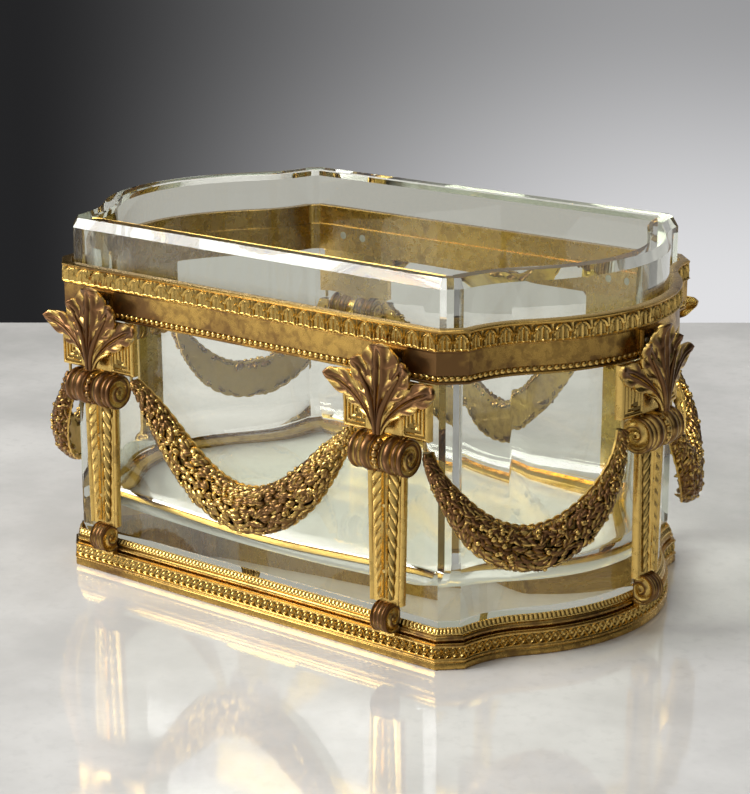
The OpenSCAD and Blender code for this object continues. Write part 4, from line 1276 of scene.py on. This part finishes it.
def floor_material(color):
    """Pale stone, lightly mottled and speckled, with a polish that mirrors a little."""
    material, g, shader = new_material("pale_stone")
    coords = g.coords()
    clouds = g.noise(coords, 9.0, 6.0, 0.6)
    specks = g.noise(coords, 160.0, 3.0, 0.6)
    light = rgba(min(1.0, c * 1.12) for c in color)
    dark = rgba(color, 0.84)
    base = g.mix(g.step(clouds, 0.3, 0.7), dark, light)
    base = g.mix(g.times(g.step(specks, 0.5, 0.7), 0.3), base, dark)
    g.fill(shader, {"Base Color": base, "Roughness": 0.06, "Metallic": 0.2})
    return material


def backdrop_material(color):
    """A grey backdrop that glows with painted light instead of being lit: painted shade on the left, painted
    light on the right, lightest low down. The camera sees that directly or in a first mirror image; through
    the crystal it shows an even pale glow."""
    material, g, shader = new_material("glowing_backdrop")
    parts = g.add("ShaderNodeSeparateXYZ", {0: g.add("ShaderNodeUVMap").outputs[0]}).outputs
    side = g.step(parts[0], *BACKDROP_SIDE)
    low_down = g.step(parts[1], *BACKDROP_RISE)
    glow = g.times(side, g.plus(g.times(low_down, 1 - BACKDROP_TOP), BACKDROP_TOP))
    base = g.mix(glow, rgba(BACKDROP_PAINTED_SHADE), rgba(color))
    path = g.add("ShaderNodeLightPath").outputs
    in_mirror = g.times(path["Is Glossy Ray"], g.math("LESS_THAN", path["Ray Depth"], 1.5))
    direct = g.math("MAXIMUM", path["Is Camera Ray"], in_mirror)
    g.fill(shader, {"Base Color": (0, 0, 0, 1), "Specular IOR Level": 0.0, "Emission Strength": 1.0,
                    "Emission Color": g.mix(direct, rgba(BACKDROP_PAINTED_GLOW_IN_GLASS), base)})
    return material


class CASKET_OT_stage(bpy.types.Operator):
    """Sets the floor, the backdrop, the soft lights and the camera"""
    bl_idname = "casket.stage"
    bl_label = "Stage"

    def execute(self, context):
        colors, sizes = context.scene.casket_colors, context.scene.casket_sizes
        right = Vector((math.cos(YAW), math.sin(YAW), 0))
        back = Vector((math.sin(YAW) * math.cos(PITCH), -math.cos(YAW) * math.cos(PITCH), math.sin(PITCH)))
        level = Vector((back.x, back.y, 0)).normalized()
        wide, high = right * STAGE_WIDE, Vector((0, 0, STAGE_HIGH))
        far = -level * FLOOR_FAR
        near = far + level * (FLOOR_NEAR + FLOOR_FAR)
        stage_plane("stage_floor", [near - wide, near + wide, far + wide, far - wide],
                    floor_material(tuple(colors.floor)))
        wall = -level * (FLOOR_FAR + BACKDROP_BEHIND) - Vector((0, 0, BACKDROP_BELOW))
        stage_plane("stage_backdrop", [wall - wide, wall + wide, wall + wide + high, wall - wide + high],
                    backdrop_material(tuple(colors.backdrop)))
        for name, (x, y, z), size, power in LIGHTS:
            self.light(name, right * x + level * y + Vector((0, 0, z)), size, power)
        self.world(context, right, level)
        self.camera(context, sizes.lens, right, back.cross(right), back)
        context.scene.view_settings.view_transform = "Standard"
        return {"FINISHED"}

    def world(self, context, right, level):
        """A grey room, light overhead and to the left and darker elsewhere."""
        world = bpy.data.worlds.new("soft_room")
        context.scene.world = world
        world.use_nodes = True
        g = Graph(world.node_tree)
        x, y, z = SKY_AIM
        toward = (right * x + level * y + Vector((0, 0, z))).normalized()
        ahead = g.add("ShaderNodeTexCoord").outputs["Generated"]
        aim = g.add("ShaderNodeVectorMath", {0: ahead, 1: tuple(toward)}, operation="DOT_PRODUCT")
        shade = g.step(aim.outputs["Value"], 0.0, 0.95)
        color = g.mix(shade, rgba(SKY_DARK), rgba(SKY_LIGHT))
        g.fill(world.node_tree.nodes["Background"], {0: color, 1: SKY_POWER})

    def light(self, name, place, size, power):
        data = bpy.data.lights.new(name, "AREA")
        data.shape, data.size, data.size_y, data.energy = "RECTANGLE", size, size, power
        lamp = bpy.data.objects.new(name, data)
        bpy.context.scene.collection.objects.link(lamp)
        aim = Vector((0, 0, AIM_Z)) - place
        lamp.matrix_world = Matrix.Translation(place) @ aim.to_track_quat("-Z", "Y").to_matrix().to_4x4()

    def camera(self, context, lens, right, up, back):
        data = bpy.data.cameras.new("photo_camera")
        data.lens, data.sensor_width, data.sensor_fit = lens, 36.0, "AUTO"
        data.clip_start = 0.05
        camera = bpy.data.objects.new("photo_camera", data)
        context.scene.collection.objects.link(camera)
        place = (right * CAMERA_RIGHT + up * CAMERA_UP + back * CAMERA_BACK) * MM
        turn = Matrix((right, up, back)).transposed().to_4x4()
        camera.matrix_world = Matrix.Translation(place) @ turn
        context.scene.camera = camera


OPERATORS = (
    CASKET_OT_stage, CASKET_OT_vessel, CASKET_OT_base, CASKET_OT_frieze, CASKET_OT_pilasters, CASKET_OT_husks,
    CASKET_OT_volutes, CASKET_OT_foot_scrolls, CASKET_OT_acanthus, CASKET_OT_garlands, CASKET_OT_fasteners,
)


class CASKET_PT_panel(bpy.types.Panel):
    bl_label = "Crystal casket"
    bl_space_type = "VIEW_3D"
    bl_region_type = "UI"
    bl_category = "Casket"

    def draw(self, context):
        for group in (context.scene.casket_colors, context.scene.casket_sizes):
            for key in group.bl_rna.properties.keys():
                if key not in ("rna_type", "name"):
                    self.layout.prop(group, key)
        for operator in OPERATORS:
            self.layout.operator(operator.bl_idname)


CLASSES = (CasketColors, CasketSizes) + OPERATORS + (CASKET_PT_panel,)


def register():
    for cls in CLASSES:
        bpy.utils.register_class(cls)
    bpy.types.Scene.casket_colors = bpy.props.PointerProperty(type=CasketColors)
    bpy.types.Scene.casket_sizes = bpy.props.PointerProperty(type=CasketSizes)


def unregister():
    del bpy.types.Scene.casket_colors
    del bpy.types.Scene.casket_sizes
    for cls in reversed(CLASSES):
        bpy.utils.unregister_class(cls)


def main():
    register()
    make_finishes(bpy.context.scene.casket_colors)
    for operator in OPERATORS:
        group, name = operator.bl_idname.split(".")
        getattr(getattr(bpy.ops, group), name)()


if __name__ == "__main__":
    main()
